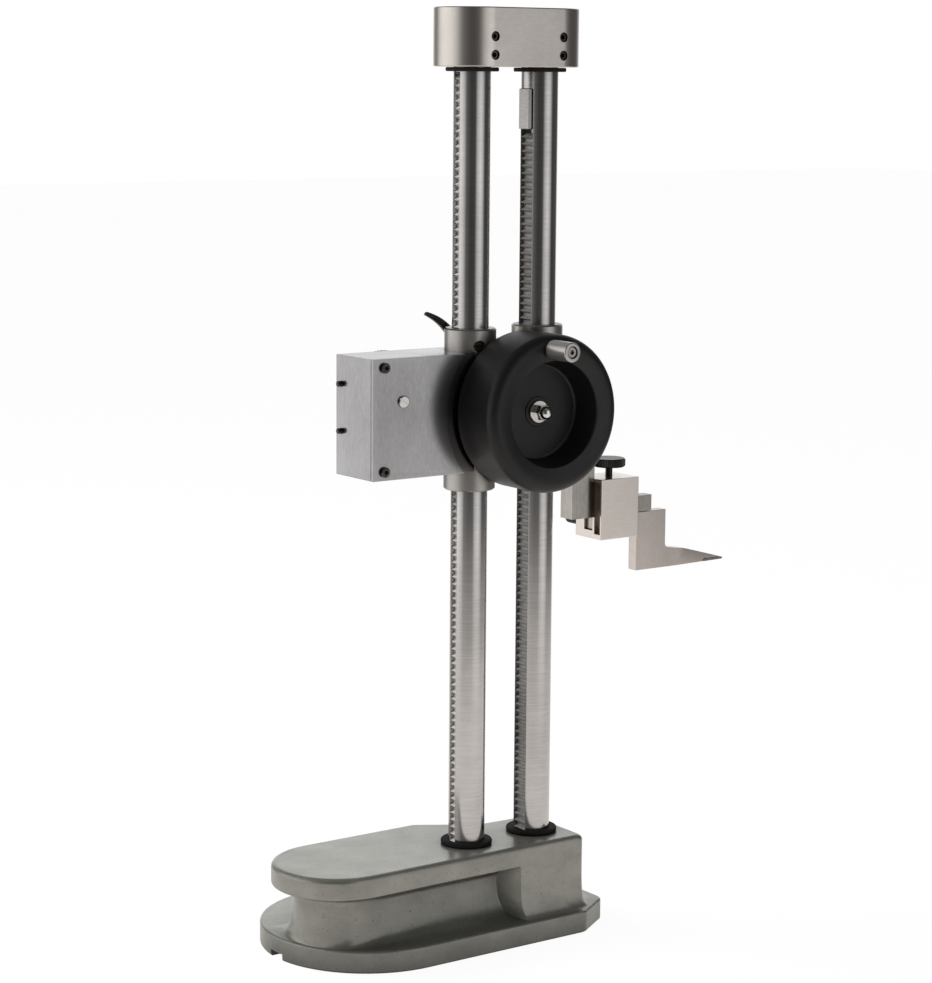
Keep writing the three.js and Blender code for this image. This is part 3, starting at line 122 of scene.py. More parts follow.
def grey(level: float) -> tuple[float, float, float, float]:
    """Returns a linear grey with full alpha."""
    return level, level, level, 1.0


def add_node(tree: Tree, kind: str, settings: dict | None = None,
             links: dict | None = None) -> bpy.types.Node:
    """Adds a node with its settings and links.

    Args:
        tree: The node tree.
        kind: The node's type name, without the "ShaderNode" in front.
        settings: Values by attribute name, input name or input number.
        links: Output sockets by input name or input number.

    Returns:
        The new node.
    """
    node = tree.nodes.new("ShaderNode" + kind)
    sockets = {socket.name for socket in node.inputs}
    for key, value in (settings or {}).items():
        if isinstance(key, int) or key in sockets:
            node.inputs[key].default_value = value
        else:
            setattr(node, key, value)
    for key, socket in (links or {}).items():
        tree.links.new(socket, node.inputs[key])
    return node


@dataclass(frozen=True)
class Finish:
    """What a surface is made of, how it was made, and the record's slot for it."""

    name: str
    slot: str
    colour: str
    shade: str
    roughness: float
    metallic: float = 0.0
    grain: Triple = (400.0, 400.0, 400.0)
    grain_depth: float = 0.05
    roughness_swing: float = 0.06
    coat: float = 0.0
    transmission: float = 0.0
    ior: float = 1.5
    worn: str = "FFFFFF"
    wear: float = 0.25
    # Painted shade: how strongly ambient occlusion darkens recesses, how far it looks, and the colour it
    # darkens towards.
    recess_shade: float = 0.35
    recess_shade_reach: float = 6.0
    painted_shade: str = "24211E"
    clouds: Triple = (28.0, 28.0, 14.0)

    def coordinates(self, tree: Tree, scale: Triple) -> Socket:
        """Returns object coordinates scaled to a pattern.

        Args:
            tree: The material's node tree.
            scale: How many pattern units a metre holds along each axis.

        Returns:
            The scaled coordinates.
        """
        place = add_node(tree, "TexCoord")
        mapping = add_node(tree, "Mapping", {"Scale": scale}, {"Vector": place.outputs["Object"]})
        return mapping.outputs["Vector"]

    def pattern(self, tree: Tree) -> tuple[Socket, Socket]:
        """Makes the pattern of the surface.

        Args:
            tree: The material's node tree.

        Returns:
            The grain's height, and the tone that mixes the two colours.
        """
        fine = add_node(tree, "TexNoise", {"Scale": 1.0, "Detail": 3.0, "Roughness": 0.6},
                        {"Vector": self.coordinates(tree, self.grain)})
        cloud = add_node(tree, "TexNoise", {"Scale": 1.0, "Detail": 4.0, "Roughness": 0.55},
                         {"Vector": self.coordinates(tree, self.clouds)})
        tone = add_node(tree, "Math", {"operation": "MULTIPLY_ADD", 1: 0.5},
                        {0: fine.outputs["Fac"], 2: cloud.outputs["Fac"]})
        spread = add_node(tree, "MapRange", {"From Min": 0.5, "From Max": 1.0}, {"Value": tone.outputs[0]})
        return fine.outputs["Fac"], spread.outputs["Result"]

    def wear_and_shade(self, tree: Tree, colour: Socket, tone: Socket) -> Socket:
        """Rubs the edges bright with wear and paints shade into the recesses.

        Args:
            tree: The material's node tree.
            colour: The clean colour.
            tone: The pattern that breaks up the worn edges.

        Returns:
            The colour with its worn edges and the painted shade.
        """
        bend = add_node(tree, "NewGeometry").outputs["Pointiness"]
        edge = add_node(tree, "MapRange", {"From Min": 0.515, "From Max": 0.6, "To Max": self.wear},
                        {"Value": bend})
        patchy = add_node(tree, "Math", {"operation": "MULTIPLY"}, {0: edge.outputs["Result"], 1: tone})
        rubbed = add_node(tree, "Mix", {"data_type": "RGBA", 7: linear(self.worn)},
                          {0: patchy.outputs[0], 6: colour})
        # Painted shade: where ambient occlusion finds a recess or a nearby part, the colour is darkened
        # towards the shade colour.
        shelter = add_node(tree, "AmbientOcclusion",
                           {"samples": 6, "Distance": self.recess_shade_reach * MM})
        painted_shade = add_node(tree, "MapRange", {"From Min": 0.9, "From Max": 0.3, "To Max": self.recess_shade},
                        {"Value": shelter.outputs["AO"]})
        shaded = add_node(tree, "Mix", {"data_type": "RGBA", 7: linear(self.painted_shade)},
                          {0: painted_shade.outputs["Result"], 6: rubbed.outputs[2]})
        return shaded.outputs[2]

    def material(self) -> bpy.types.Material:
        """Builds the material, or finds it where it is built already.

        Returns:
            The material.
        """
        made = bpy.data.materials.get(self.name)
        if made:
            return made
        made = bpy.data.materials.new(self.name)
        made.use_nodes = True
        tree = made.node_tree
        tree.nodes.clear()
        height, tone = self.pattern(tree)
        colour = add_node(tree, "Mix",
                          {"data_type": "RGBA", 6: linear(self.shade), 7: linear(self.colour)}, {0: tone})
        dullest, glossiest = self.roughness + self.roughness_swing, self.roughness - self.roughness_swing
        roughness = add_node(tree, "MapRange", {"To Min": dullest, "To Max": glossiest},
                             {"Value": tone})
        bump = add_node(tree, "Bump", {"Strength": 0.5, "Distance": self.grain_depth * MM},
                        {"Height": height})
        settings = {"Metallic": self.metallic, "Coat Weight": self.coat, "Coat Roughness": 0.12,
                    "Transmission Weight": self.transmission, "IOR": self.ior}
        shader = add_node(tree, "BsdfPrincipled", settings,
                          {"Base Color": self.wear_and_shade(tree, colour.outputs[2], tone),
                           "Roughness": roughness.outputs["Result"], "Normal": bump.outputs["Normal"]})
        add_node(tree, "OutputMaterial", links={"Surface": shader.outputs[0]})
        return made


@dataclass(frozen=True)
class HammertoneEnamel(Finish):
    """Grey stoving enamel on rough cast iron, which dries in cells with dark flecks between them."""

    clouds: Triple = (60.0, 60.0, 90.0)

    def pattern(self, tree: Tree) -> tuple[Socket, Socket]:
        """Makes the pattern of the enamel.

        Args:
            tree: The material's node tree.

        Returns:
            The cells' height, and the tone, which falls to dark in the flecks.
        """
        where = self.coordinates(tree, self.grain)
        drift = add_node(tree, "TexNoise", {"Scale": 0.7, "Detail": 2.0}, {"Vector": where})
        warped = add_node(tree, "Mix", {"data_type": "VECTOR", 0: 0.25},
                          {4: where, 5: drift.outputs["Color"]})
        cells = add_node(tree, "TexVoronoi", {"feature": "SMOOTH_F1", "Scale": 1.0, "Smoothness": 0.6},
                         {"Vector": warped.outputs[1]})
        flecks = add_node(tree, "TexNoise", {"Scale": 1.6, "Detail": 3.0, "Roughness": 0.7},
                          {"Vector": where})
        gaps = add_node(tree, "MapRange",
                        {"From Min": 0.62, "From Max": 0.69, "To Min": 1.0, "To Max": 0.35},
                        {"Value": flecks.outputs["Fac"]})
        cloud = add_node(tree, "TexNoise", {"Scale": 1.0, "Detail": 3.0},
                         {"Vector": self.coordinates(tree, self.clouds)})
        base = add_node(tree, "MapRange",
                        {"From Min": 0.3, "From Max": 0.7, "To Min": 0.72, "To Max": 1.0},
                        {"Value": cloud.outputs["Fac"]})
        tone = add_node(tree, "Math", {"operation": "MULTIPLY"},
                        {0: base.outputs["Result"], 1: gaps.outputs["Result"]})
        return cells.outputs["Distance"], tone.outputs[0]


# Ground and hard-plated bar: fine rings of grinding lines, drawn coarse enough to show.
GROUND_BAR = Finish("ground_hard_plated_bar", "ground_steel", "CFCCCA", "B9B6B4", 0.16, 1.0,
                    (60.0, 60.0, 1500.0), 0.003, 0.04, recess_shade=0.2)
# Satin-plated steel: a fine even blast under dull nickel, without lines.
SATIN_PLATE = Finish("satin_plated_steel", "satin_steel", "BDB8B3", "ADA8A3", 0.34, 1.0,
                     (900.0, 900.0, 900.0), 0.008, 0.04)
# Satin plate on the crown block, lighter than the slider's.
CROWN_PLATE = Finish("satin_plated_crown", "satin_steel", "E0D9D2", "D0C9C2", 0.29, 1.0,
                     (260.0, 900.0, 1300.0), 0.004, 0.04)
# Hobbed and oiled rack teeth: a dull even grey that keeps the teeth quiet in the column's channel.
RACK_STEEL = Finish("hobbed_rack_steel", "satin_steel", "A09D9A", "8A8784", 0.5, 0.5,
                    (300.0, 300.0, 1800.0), 0.01, 0.06, recess_shade=0.0)
# Fine measuring rack, nickel-plated: pale, so that its narrow strip reads almost as the bar beside it.
PLATED_RACK = Finish("plated_fine_rack", "satin_steel", "F6F3F0", "EAE7E4", 0.45, 0.35,
                     (300.0, 300.0, 1800.0), 0.006, 0.05, recess_shade=0.0)
# Ground steel of the stop block, with the lines of the wheel along it.
STOP_STEEL = Finish("ground_stop_steel", "satin_steel", "C8C5C1", "AAA7A3", 0.34, 1.0,
                    (300.0, 300.0, 1800.0), 0.01, 0.06, recess_shade=0.3)
# Warm satin nickel on the clamp and the scriber, with a fine lapped grain.
SATIN_NICKEL = Finish("satin_nickel_steel", "satin_steel", "F3E9E2", "E6DCD4", 0.24, 1.0,
                      (260.0, 900.0, 1300.0), 0.004, 0.04)
# Hardened and ground steel of the scriber, warm and darker than the clamp.
SCRIBER_STEEL = Finish("hardened_ground_steel", "satin_steel", "D5CAC3", "C3B9B1", 0.25, 1.0,
                       (1100.0, 900.0, 260.0), 0.004, 0.04)
# Ground steel of the measuring arm, a little greyer than the nickel.
GROUND_ARM = Finish("ground_steel_arm", "satin_steel", "ABA49B", "96928A", 0.2, 1.0,
                    (1100.0, 900.0, 260.0), 0.004, 0.04)
# Satin-finished light alloy case: an even grey that still mirrors what stands close to it.
CASE_ALLOY = Finish("satin_alloy_case", "case_alloy", "B2B0B0", "A6A4A4", 0.22, 1.0,
                    (900.0, 900.0, 300.0), 0.002, 0.03)
# Black oxide on machined steel, a soft dark gloss.
BLACK_OXIDE = Finish("black_oxide_steel", "dark_steel", "4B4845", "322F2D", 0.34, 0.9,
                     (700.0, 700.0, 700.0), 0.01, 0.08, worn="9A9792", wear=0.5)
# Moulded phenolic handwheel: black, with a low even sheen and handled edges.
PHENOLIC = Finish("moulded_black_phenolic", "black_plastic", "181617", "121011", 0.46, 0.0,
                  (650.0, 650.0, 650.0), 0.01, 0.06, worn="3A3838", recess_shade=0.5)
# Moulded rubber washers, dull and dusty.
RUBBER = Finish("moulded_rubber", "rubber", "151414", "0C0C0C", 0.75, 0.0,
                (500.0, 500.0, 500.0), 0.05, 0.08, worn="2B2A2A")
# Turned and gilt brass of the movement, ring-marked by the lathe.
TURNED_BRASS = Finish("turned_brass", "brass", "C8A35C", "B08B48", 0.3, 1.0,
                      (900.0, 200.0, 900.0), 0.01, 0.05)
# Polished plate on the nut and the washer, dulled a little by handling.
CHROME = Finish("polished_plate", "chrome", "F4F2EE", "E2DFDB", 0.18, 1.0,
                (200.0, 200.0, 200.0), 0.002, 0.04, recess_shade=0.1)
# Satin plate on the crank: turned, blasted and plated, so its highlights are wide and quiet.
SATIN_CRANK = Finish("satin_plated_crank", "chrome", "CFCBC7", "BFBBB7", 0.33, 0.85,
                     (300.0, 1500.0, 300.0), 0.006, 0.05)
# Satin aluminium dial, printed white.
DIAL_WHITE = Finish("white_dial_enamel", "dial_white", "F1F0EC", "E9E8E3", 0.5, 0.0,
                    (500.0, 500.0, 500.0), 0.006, 0.04, recess_shade=0.1)
# Printed black of the graduations, slightly glossy.
BLACK_PRINT = Finish("black_print", "black_plastic", "1A1A1B", "121213", 0.4, 0.0,
                     (800.0, 800.0, 800.0), 0.003, 0.05)
# Moulded white figures on the number wheels.
WHITE_PRINT = Finish("white_print", "dial_white", "F0EFEA", "E4E3DE", 0.5, 0.0,
                     (800.0, 800.0, 800.0), 0.003, 0.04)
# Clear mineral crystal.
CRYSTAL = Finish("mineral_crystal", "clear_glass", "FBFCFC", "F7F9F9", 0.03, 0.0,
                 (80.0, 80.0, 80.0), 0.001, 0.01, transmission=1.0, ior=1.52, wear=0.0, recess_shade=0.0)
# Sintered carbide, darker and greyer than the steel that holds it.
CARBIDE = Finish("lapped_carbide", "dark_steel", "8A8882", "73716B", 0.26, 1.0,
                 (500.0, 500.0, 500.0), 0.004, 0.05)
# Hammertone enamel holds metal flake, so it mirrors the studio softly. Its cells of about 2.5 mm and its
# flecks of about 1 mm are drawn a little coarser than the real ones so that they show.
# The enamel takes strong dark green painted shade reaching 34 mm, which darkens the groove, the foot and the
# faces under the block.
ENAMEL = HammertoneEnamel("grey_hammertone_enamel", "enamel", "ABAAA2", "5E5E58", 0.36, 0.6,
                          (420.0, 420.0, 420.0), 0.12, 0.05, 0.3, worn="55544E", wear=0.7, recess_shade=1.0,
                          recess_shade_reach=34.0, painted_shade="1E2220")


def add_object(name: str, data: bpy.types.ID) -> bpy.types.Object:
    """Adds an object to the scene.

    Args:
        name: Its name.
        data: Its mesh, curve, lamp or camera.

    Returns:
        The new object.
    """
    made = bpy.data.objects.new(name, data)
    bpy.context.scene.collection.objects.link(made)
    return made


# Shapes
def arc(centre: Pair, radius: float, start: float, end: float, steps: int,
        rise: float | None = None) -> list[Pair]:
    """Returns the points of an arc.

    Args:
        centre: The arc's centre.
        radius: Its radius along the first axis.
        start: Its first angle, in degrees.
        end: Its last angle.
        steps: How many chords it has.
        rise: Its radius along the second axis, where that differs.

    Returns:
        The points from start to end.
    """
    second = radius if rise is None else rise
    angles = [math.radians(start + (end - start) * i / steps) for i in range(steps + 1)]
    return [(centre[0] + radius * math.cos(a), centre[1] + second * math.sin(a)) for a in angles]


def fillet(before: Pair, corner: Pair, after: Pair, radius: float, steps: int) -> list[Pair]:
    """Returns the points that round off an outline's corner.

    Args:
        before: The point before the corner.
        corner: The corner.
        after: The point after it.
        radius: The radius of the round.
        steps: How many chords it has.

    Returns:
        The points of the round.
    """
    p, c, q = Vector(before), Vector(corner), Vector(after)
    to_p, to_q = (p - c).normalized(), (q - c).normalized()
    reach = radius / math.tan(to_p.angle(to_q) / 2)
    start, end = c + to_p * reach, c + to_q * reach
    points = []
    for i in range(steps + 1):
        share = i / steps
        point = start.lerp(c, share).lerp(c.lerp(end, share), share)
        points.append((point.x, point.y))
    return points


def quarter_shares(*degrees: float) -> list[Pair]:
    """Returns the sine and the cosine of each angle, for the levels of a rounded edge."""
    return [(math.sin(math.radians(a)), math.cos(math.radians(a))) for a in degrees]


class Form:
    """A closed shape under construction, in millimetres, that ends up as one mesh."""

    def __init__(self) -> None:
        """Starts with an empty mesh."""
        self.bm = bmesh.new()

    @classmethod
    def spun(cls, profile: Sequence[Pair], axis: Axis = Axis.Z, centre: Triple = (0, 0, 0),
             steps: int = FINE) -> "Form":
        """Spins a profile right round an axis.

        Args:
            profile: Pairs of radius and place along the axis. A profile off the axis closes on itself.
            axis: The axis that it is spun round.
            centre: A point on that axis.
            steps: How many sides the spin has.

        Returns:
            The closed form.
        """
        form = cls()
        verts = [form.bm.verts.new((radius, 0.0, along)) for radius, along in profile]
        edges = [form.bm.edges.new(pair) for pair in zip(verts, verts[1:])]
        if min(radius for radius, _ in profile) > 0:
            edges.append(form.bm.edges.new((verts[-1], verts[0])))
        bmesh.ops.spin(form.bm, geom=verts + edges, cent=(0, 0, 0), axis=(0, 0, 1), dvec=(0, 0, 0),
                       angle=FULL_TURN, steps=steps, use_merge=True, use_duplicate=False)
        bmesh.ops.remove_doubles(form.bm, verts=form.bm.verts, dist=SAME)
        bmesh.ops.transform(form.bm, matrix=Matrix.Translation(centre) @ axis.turn(), verts=form.bm.verts)
        return form.outward()

    @classmethod
    def bar(cls, radius: float, start: float, end: float, axis: Axis = Axis.Z, centre: Triple = (0, 0, 0),
            edge: float = 0.0, steps: int = MEDIUM, bore: float = 0.0) -> "Form":
        """Spins a round bar.

        Args:
            radius: The bar's radius.
            start: Where it starts along the axis.
            end: Where it ends.
            axis: The axis.
            centre: A point on the axis.
            edge: The width of the chamfers at its ends.
            steps: How many sides it has.
            bore: The radius of the hole along it.

        Returns:
            The bar.
        """
        profile = [(bore, start), (radius - edge, start), (radius, start + edge), (radius, end - edge),
                   (radius - edge, end), (bore, end)]
        if not edge:
            profile = [(bore, start), (radius, start), (radius, end), (bore, end)]
        return cls.spun(profile, axis, centre, steps)

    @classmethod
    def pin(cls, radius: float, start: float, end: float, x: float = 0.0, z: float = 0.0) -> "Form":
        """Makes a thin bar along the Y axis, as a pin or to cut a small bore."""
        return cls.bar(radius, start, end, Axis.Y, (x, 0, z), steps=SMALL)

    @classmethod
    def brick(cls, low: Triple, high: Triple) -> "Form":
        """Makes a box.

        Args:
            low: Its low corner.
            high: Its high corner.

        Returns:
            The box.
        """
        form = cls()
        size = [b - a for a, b in zip(low, high)]
        middle = Matrix.Translation([(a + b) / 2 for a, b in zip(low, high)])
        bmesh.ops.create_cube(form.bm, size=1.0, matrix=middle @ Matrix.Diagonal((*size, 1.0)))
        return form

    @classmethod
    def prism(cls, outline: Sequence[Pair], axis: Axis, start: float, end: float) -> "Form":
        """Extrudes an outline along an axis.

        Args:
            outline: The outline's points across the axis.
            axis: The axis.
            start: Where the form starts along it.
            end: Where it ends.

        Returns:
            The closed form.
        """
        form = cls()
        face = form.bm.faces.new([form.bm.verts.new(axis.place(a, b, start)) for a, b in outline])
        grown = bmesh.ops.extrude_face_region(form.bm, geom=[face], use_keep_orig=True)
        moved = [item for item in grown["geom"] if isinstance(item, bmesh.types.BMVert)]
        bmesh.ops.translate(form.bm, verts=moved, vec=Vector(axis.value) * (end - start))
        return form.outward()

    @classmethod
    def knurled(cls, radius: float, depth: float, count: int, start: float, end: float, axis: Axis,
                edge: float) -> "Form":
        """Makes a round head with straight knurls and chamfered ends.

        Args:
            radius: The radius over the knurls.
            depth: How deep they are.
            count: How many there are.
            start: Where the head starts along the axis.
            end: Where it ends.
            axis: The axis.
            edge: How much wider than the knurls' depth the chamfers are.

        Returns:
            The head.
        """
        reaches = [radius - depth, radius] * count
        turns = [math.pi * i / count for i in range(2 * count)]
        points = [(reach * math.cos(turn), reach * math.sin(turn)) for reach, turn in zip(reaches, turns)]
        blank = cls.bar(radius + SLIDE, start, end, axis, edge=edge + depth, steps=FINE)
        return cls.prism(points, axis, start, end).combine("INTERSECT", blank)

    @classmethod
    def copied(cls, node: str) -> "Form":
        """Copies a CAD node's mesh with its triangles merged into flat faces.

        Args:
            node: The node's name.

        Returns:
            The copy.
        """
        form = cls()
        bm = form.bm
        bm.from_mesh(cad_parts[node].data)
        bmesh.ops.scale(bm, vec=(1 / MM,) * 3, verts=bm.verts)
        bmesh.ops.remove_doubles(bm, verts=bm.verts, dist=WELD)
        bmesh.ops.dissolve_limit(bm, angle_limit=math.radians(1), verts=bm.verts, edges=bm.edges)
        return form

    def outward(self) -> "Form":
        """Turns all faces outwards."""
        bmesh.ops.recalc_face_normals(self.bm, faces=self.bm.faces)
        return self

    def shift(self, x: float = 0.0, y: float = 0.0, z: float = 0.0) -> "Form":
        """Moves the form."""
        bmesh.ops.translate(self.bm, verts=self.bm.verts, vec=(x, y, z))
        return self

    def on_slider(self, x: float = 0.0, z: float = 0.0) -> "Form":
        """Moves the form to its place on the slider, with its height measured from the wheel's axis."""
        return self.shift(x, 0, AXIS_HEIGHT + z)

    def turn(self, degrees: float, axis: Axis) -> "Form":
        """Turns the form about an axis through the origin.

        Args:
            degrees: How far it turns.
            axis: The axis.

        Returns:
            The form itself.
        """
        turn = Matrix.Rotation(math.radians(degrees), 3, Vector(axis.value))
        bmesh.ops.rotate(self.bm, cent=(0, 0, 0), matrix=turn, verts=self.bm.verts)
        return self

    def soften(self, width: float, segments: int = 2) -> "Form":
        """Bevels every sharp edge.

        Args:
            width: The bevel's width.
            segments: How many faces it has across.

        Returns:
            The form itself.
        """
        edges = [e for e in self.bm.edges if len(e.link_faces) == 2 and e.calc_face_angle(0) > BEVEL_ANGLE]
        bmesh.ops.bevel(self.bm, geom=edges, offset=width, offset_type="OFFSET", segments=segments,
                        profile=0.5, affect="EDGES", clamp_overlap=True, material=-1)
        return self

    def temporary(self) -> bpy.types.Object:
        """Makes a throwaway object with this form's mesh.

        Returns:
            The object, in the scene.
        """
        mesh = bpy.data.meshes.new("scratch")
        self.bm.to_mesh(mesh)
        return add_object("scratch", mesh)

    def boolean(self, operation: str, other: "Form") -> bmesh.types.BMesh:
        """Runs one boolean of this form with another, and leaves both as they are.

        Args:
            operation: The modifier's name of it.
            other: The other form.

        Returns:
            The mesh that comes out.
        """
        target, tool = self.temporary(), other.temporary()
        modifier = target.modifiers.new("combine", "BOOLEAN")
        modifier.operation = operation
        modifier.solver = "EXACT"
        modifier.object = tool
        graph = bpy.context.evaluated_depsgraph_get()
        mesh = bpy.data.meshes.new_from_object(target.evaluated_get(graph))
        made = bmesh.new()
        made.from_mesh(mesh)
        for item in (target, tool):
            data = item.data
            bpy.data.objects.remove(item)
            bpy.data.meshes.remove(data)
        bpy.data.meshes.remove(mesh)
        return made

    def combine(self, operation: str, *others: "Form") -> "Form":
        """Cuts, joins or trims this form with others, one after another, which uses them up.

        The solver now and then loses a face or a whole part, not in every run. So each result is
        measured, and made again while it is open or its volume isn't possible.

        Args:
            operation: The modifier's name of it.
            others: The other forms.

        Returns:
            The form itself.
        """
        for other in others:
            first, second = self.bm.calc_volume(), other.bm.calc_volume()
            least, most = {"UNION": (max(first, second), first + second),
                           "DIFFERENCE": (first - second, first),
                           "INTERSECT": (0.0, min(first, second))}[operation]
            slack = VOLUME_SLACK * max(first, second)
            tries: list[tuple[bool, int, int, bmesh.types.BMesh]] = []
            for i in range(TRIES):
                made = self.boolean(operation, other)
                wrong = not least - slack <= made.calc_volume() <= most + slack
                gaps = sum(len(edge.link_faces) != 2 for edge in made.edges)
                tries.append((wrong, gaps, i, made))
                if not wrong and not gaps:
                    break
            tries.sort(key=lambda found: found[:3])
            if len(tries) > 1:
                log.info("boolean made %d times, %d open edges left", len(tries), tries[0][1])
            for spare in (self.bm, other.bm, *(found[3] for found in tries[1:])):
                spare.free()
            self.bm = tries[0][3]
        return self

    def cut(self, *others: "Form") -> "Form":
        """Cuts other forms out of this one."""
        return self.combine("DIFFERENCE", *others)

    def join(self, *others: "Form") -> "Form":
        """Joins other forms to this one."""
        return self.combine("UNION", *others)

    def gather(self, other: "Form") -> "Form":
        """Takes in another form's faces as they are, for forms that don't touch.

        Args:
            other: The other form, which is used up.

        Returns:
            The form itself.
        """
        mesh = bpy.data.meshes.new("scratch")
        other.bm.to_mesh(mesh)
        self.bm.from_mesh(mesh)
        bpy.data.meshes.remove(mesh)
        other.bm.free()
        return self

    def piece(self, name: str, body: str, finish: Finish, *nodes: str,
              crease: float = 32.0) -> bpy.types.Object:
        """Turns the form into a finished piece of the object.

        Args:
            name: The piece's name.
            body: The CAD body that it rides on.
            finish: What it is made of.
            nodes: The CAD nodes that it stands for.
            crease: The angle above which an edge stays sharp, in degrees.

        Returns:
            The new object.
        """
        bmesh.ops.remove_doubles(self.bm, verts=self.bm.verts, dist=WELD)
        bmesh.ops.dissolve_degenerate(self.bm, dist=WELD, edges=self.bm.edges)
        bmesh.ops.scale(self.bm, vec=(MM,) * 3, verts=self.bm.verts)
        mesh = bpy.data.meshes.new(name)
        self.bm.to_mesh(mesh)
        self.bm.free()
        mesh.polygons.foreach_set("use_smooth", [True] * len(mesh.polygons))
        mesh.set_sharp_from_angle(angle=math.radians(crease))
        mesh.materials.append(finish.material())
        made = add_object(name, mesh)
        weighted = made.modifiers.new("flat faces stay flat", "WEIGHTED_NORMAL")
        weighted.keep_sharp = True
        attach(made, body)
        if nodes:
            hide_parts(*nodes)
        log.info("%s: %d faces on %s", name, len(mesh.polygons), body)
        return made


def dress(finish: Finish, *nodes: str) -> None:
    """Gives CAD nodes that stay as they are their finish.

    Args:
        finish: What they are made of.
        nodes: The nodes' names.
    """
    for node in nodes:
        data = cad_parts[node].data
        data.materials.clear()
        data.materials.append(finish.material())
        log.info("%s: kept, %s", node, finish.name)


def figure(text: str, size: float, depth: float, place: Matrix) -> Form:
    """Makes a raised figure from plain type.

    Args:
        text: The digits.
        size: Their height.
        depth: How far they stand proud.
        place: Where the figure goes, from lying on the XY plane and facing +Z.

    Returns:
        The figure as a form.
    """
    curve = bpy.data.curves.new("scratch", "FONT")
    curve.body = text
    curve.size = size
    curve.align_x = "CENTER"
    curve.align_y = "CENTER"
    curve.extrude = depth
    curve.resolution_u = 3
    made = add_object("scratch", curve)
    graph = bpy.context.evaluated_depsgraph_get()
    mesh = bpy.data.meshes.new_from_object(made.evaluated_get(graph))
    form = Form()
    form.bm.from_mesh(mesh)
    bmesh.ops.remove_doubles(form.bm, verts=form.bm.verts, dist=SAME)
    bmesh.ops.transform(form.bm, matrix=place, verts=form.bm.verts)
    bpy.data.objects.remove(made)
    bpy.data.curves.remove(curve)
    bpy.data.meshes.remove(mesh)
    return form


@dataclass(frozen=True)
class Screw:
    """A screw whose head points to the low end of its axis, with a hexagon socket or a slot."""

    head: float
    height: float
    edge: float
    shank: float = 0.0
    length: float = 0.0
    socket: float = 0.0
    slot: float = 0.0
    depth: float = 2.0
    steps: int = MEDIUM

    def form(self, seat: float, axis: Axis = Axis.Y) -> Form:
        """Makes the screw.

        Args:
            seat: Where its head's underside is along the axis.
            axis: The axis.

        Returns:
            The screw.
        """
        front = seat - self.height
        made = Form.bar(self.head, front, seat, axis, edge=self.edge, steps=self.steps)
        if self.shank:
            made.join(Form.bar(self.shank, seat - self.height / 3, seat + self.length, axis, steps=SMALL))
        if self.socket:
            return made.cut(Form.bar(self.socket, front - OVERRUN, front + self.depth, axis, steps=HEX))
        return made.cut(Form.brick((-2 * self.head, front - OVERRUN, -self.slot / 2),
                                   (2 * self.head, front + self.depth, self.slot / 2)))


@dataclass(frozen=True)
class Bumper:
    """A soft washer with rounded edges round a column."""

    radius: float = 14.2
    height: float = 2.2

    def form(self, x: float, bottom: float) -> Form:
        """Spins the washer.

        Args:
            x: The column's place.
            bottom: The height of its lower face.

        Returns:
            The washer.
        """
        inner, soft = COLUMN_RADIUS + SLIDE, self.height / 3
        outside = arc((self.radius - soft, bottom + soft), soft, -90, 0, 5)
        outside += arc((self.radius - soft, bottom + self.height - soft), soft, 0, 90, 5)
        return Form.spun([(inner, bottom), *outside, (inner, bottom + self.height)], centre=(x, 0, 0))


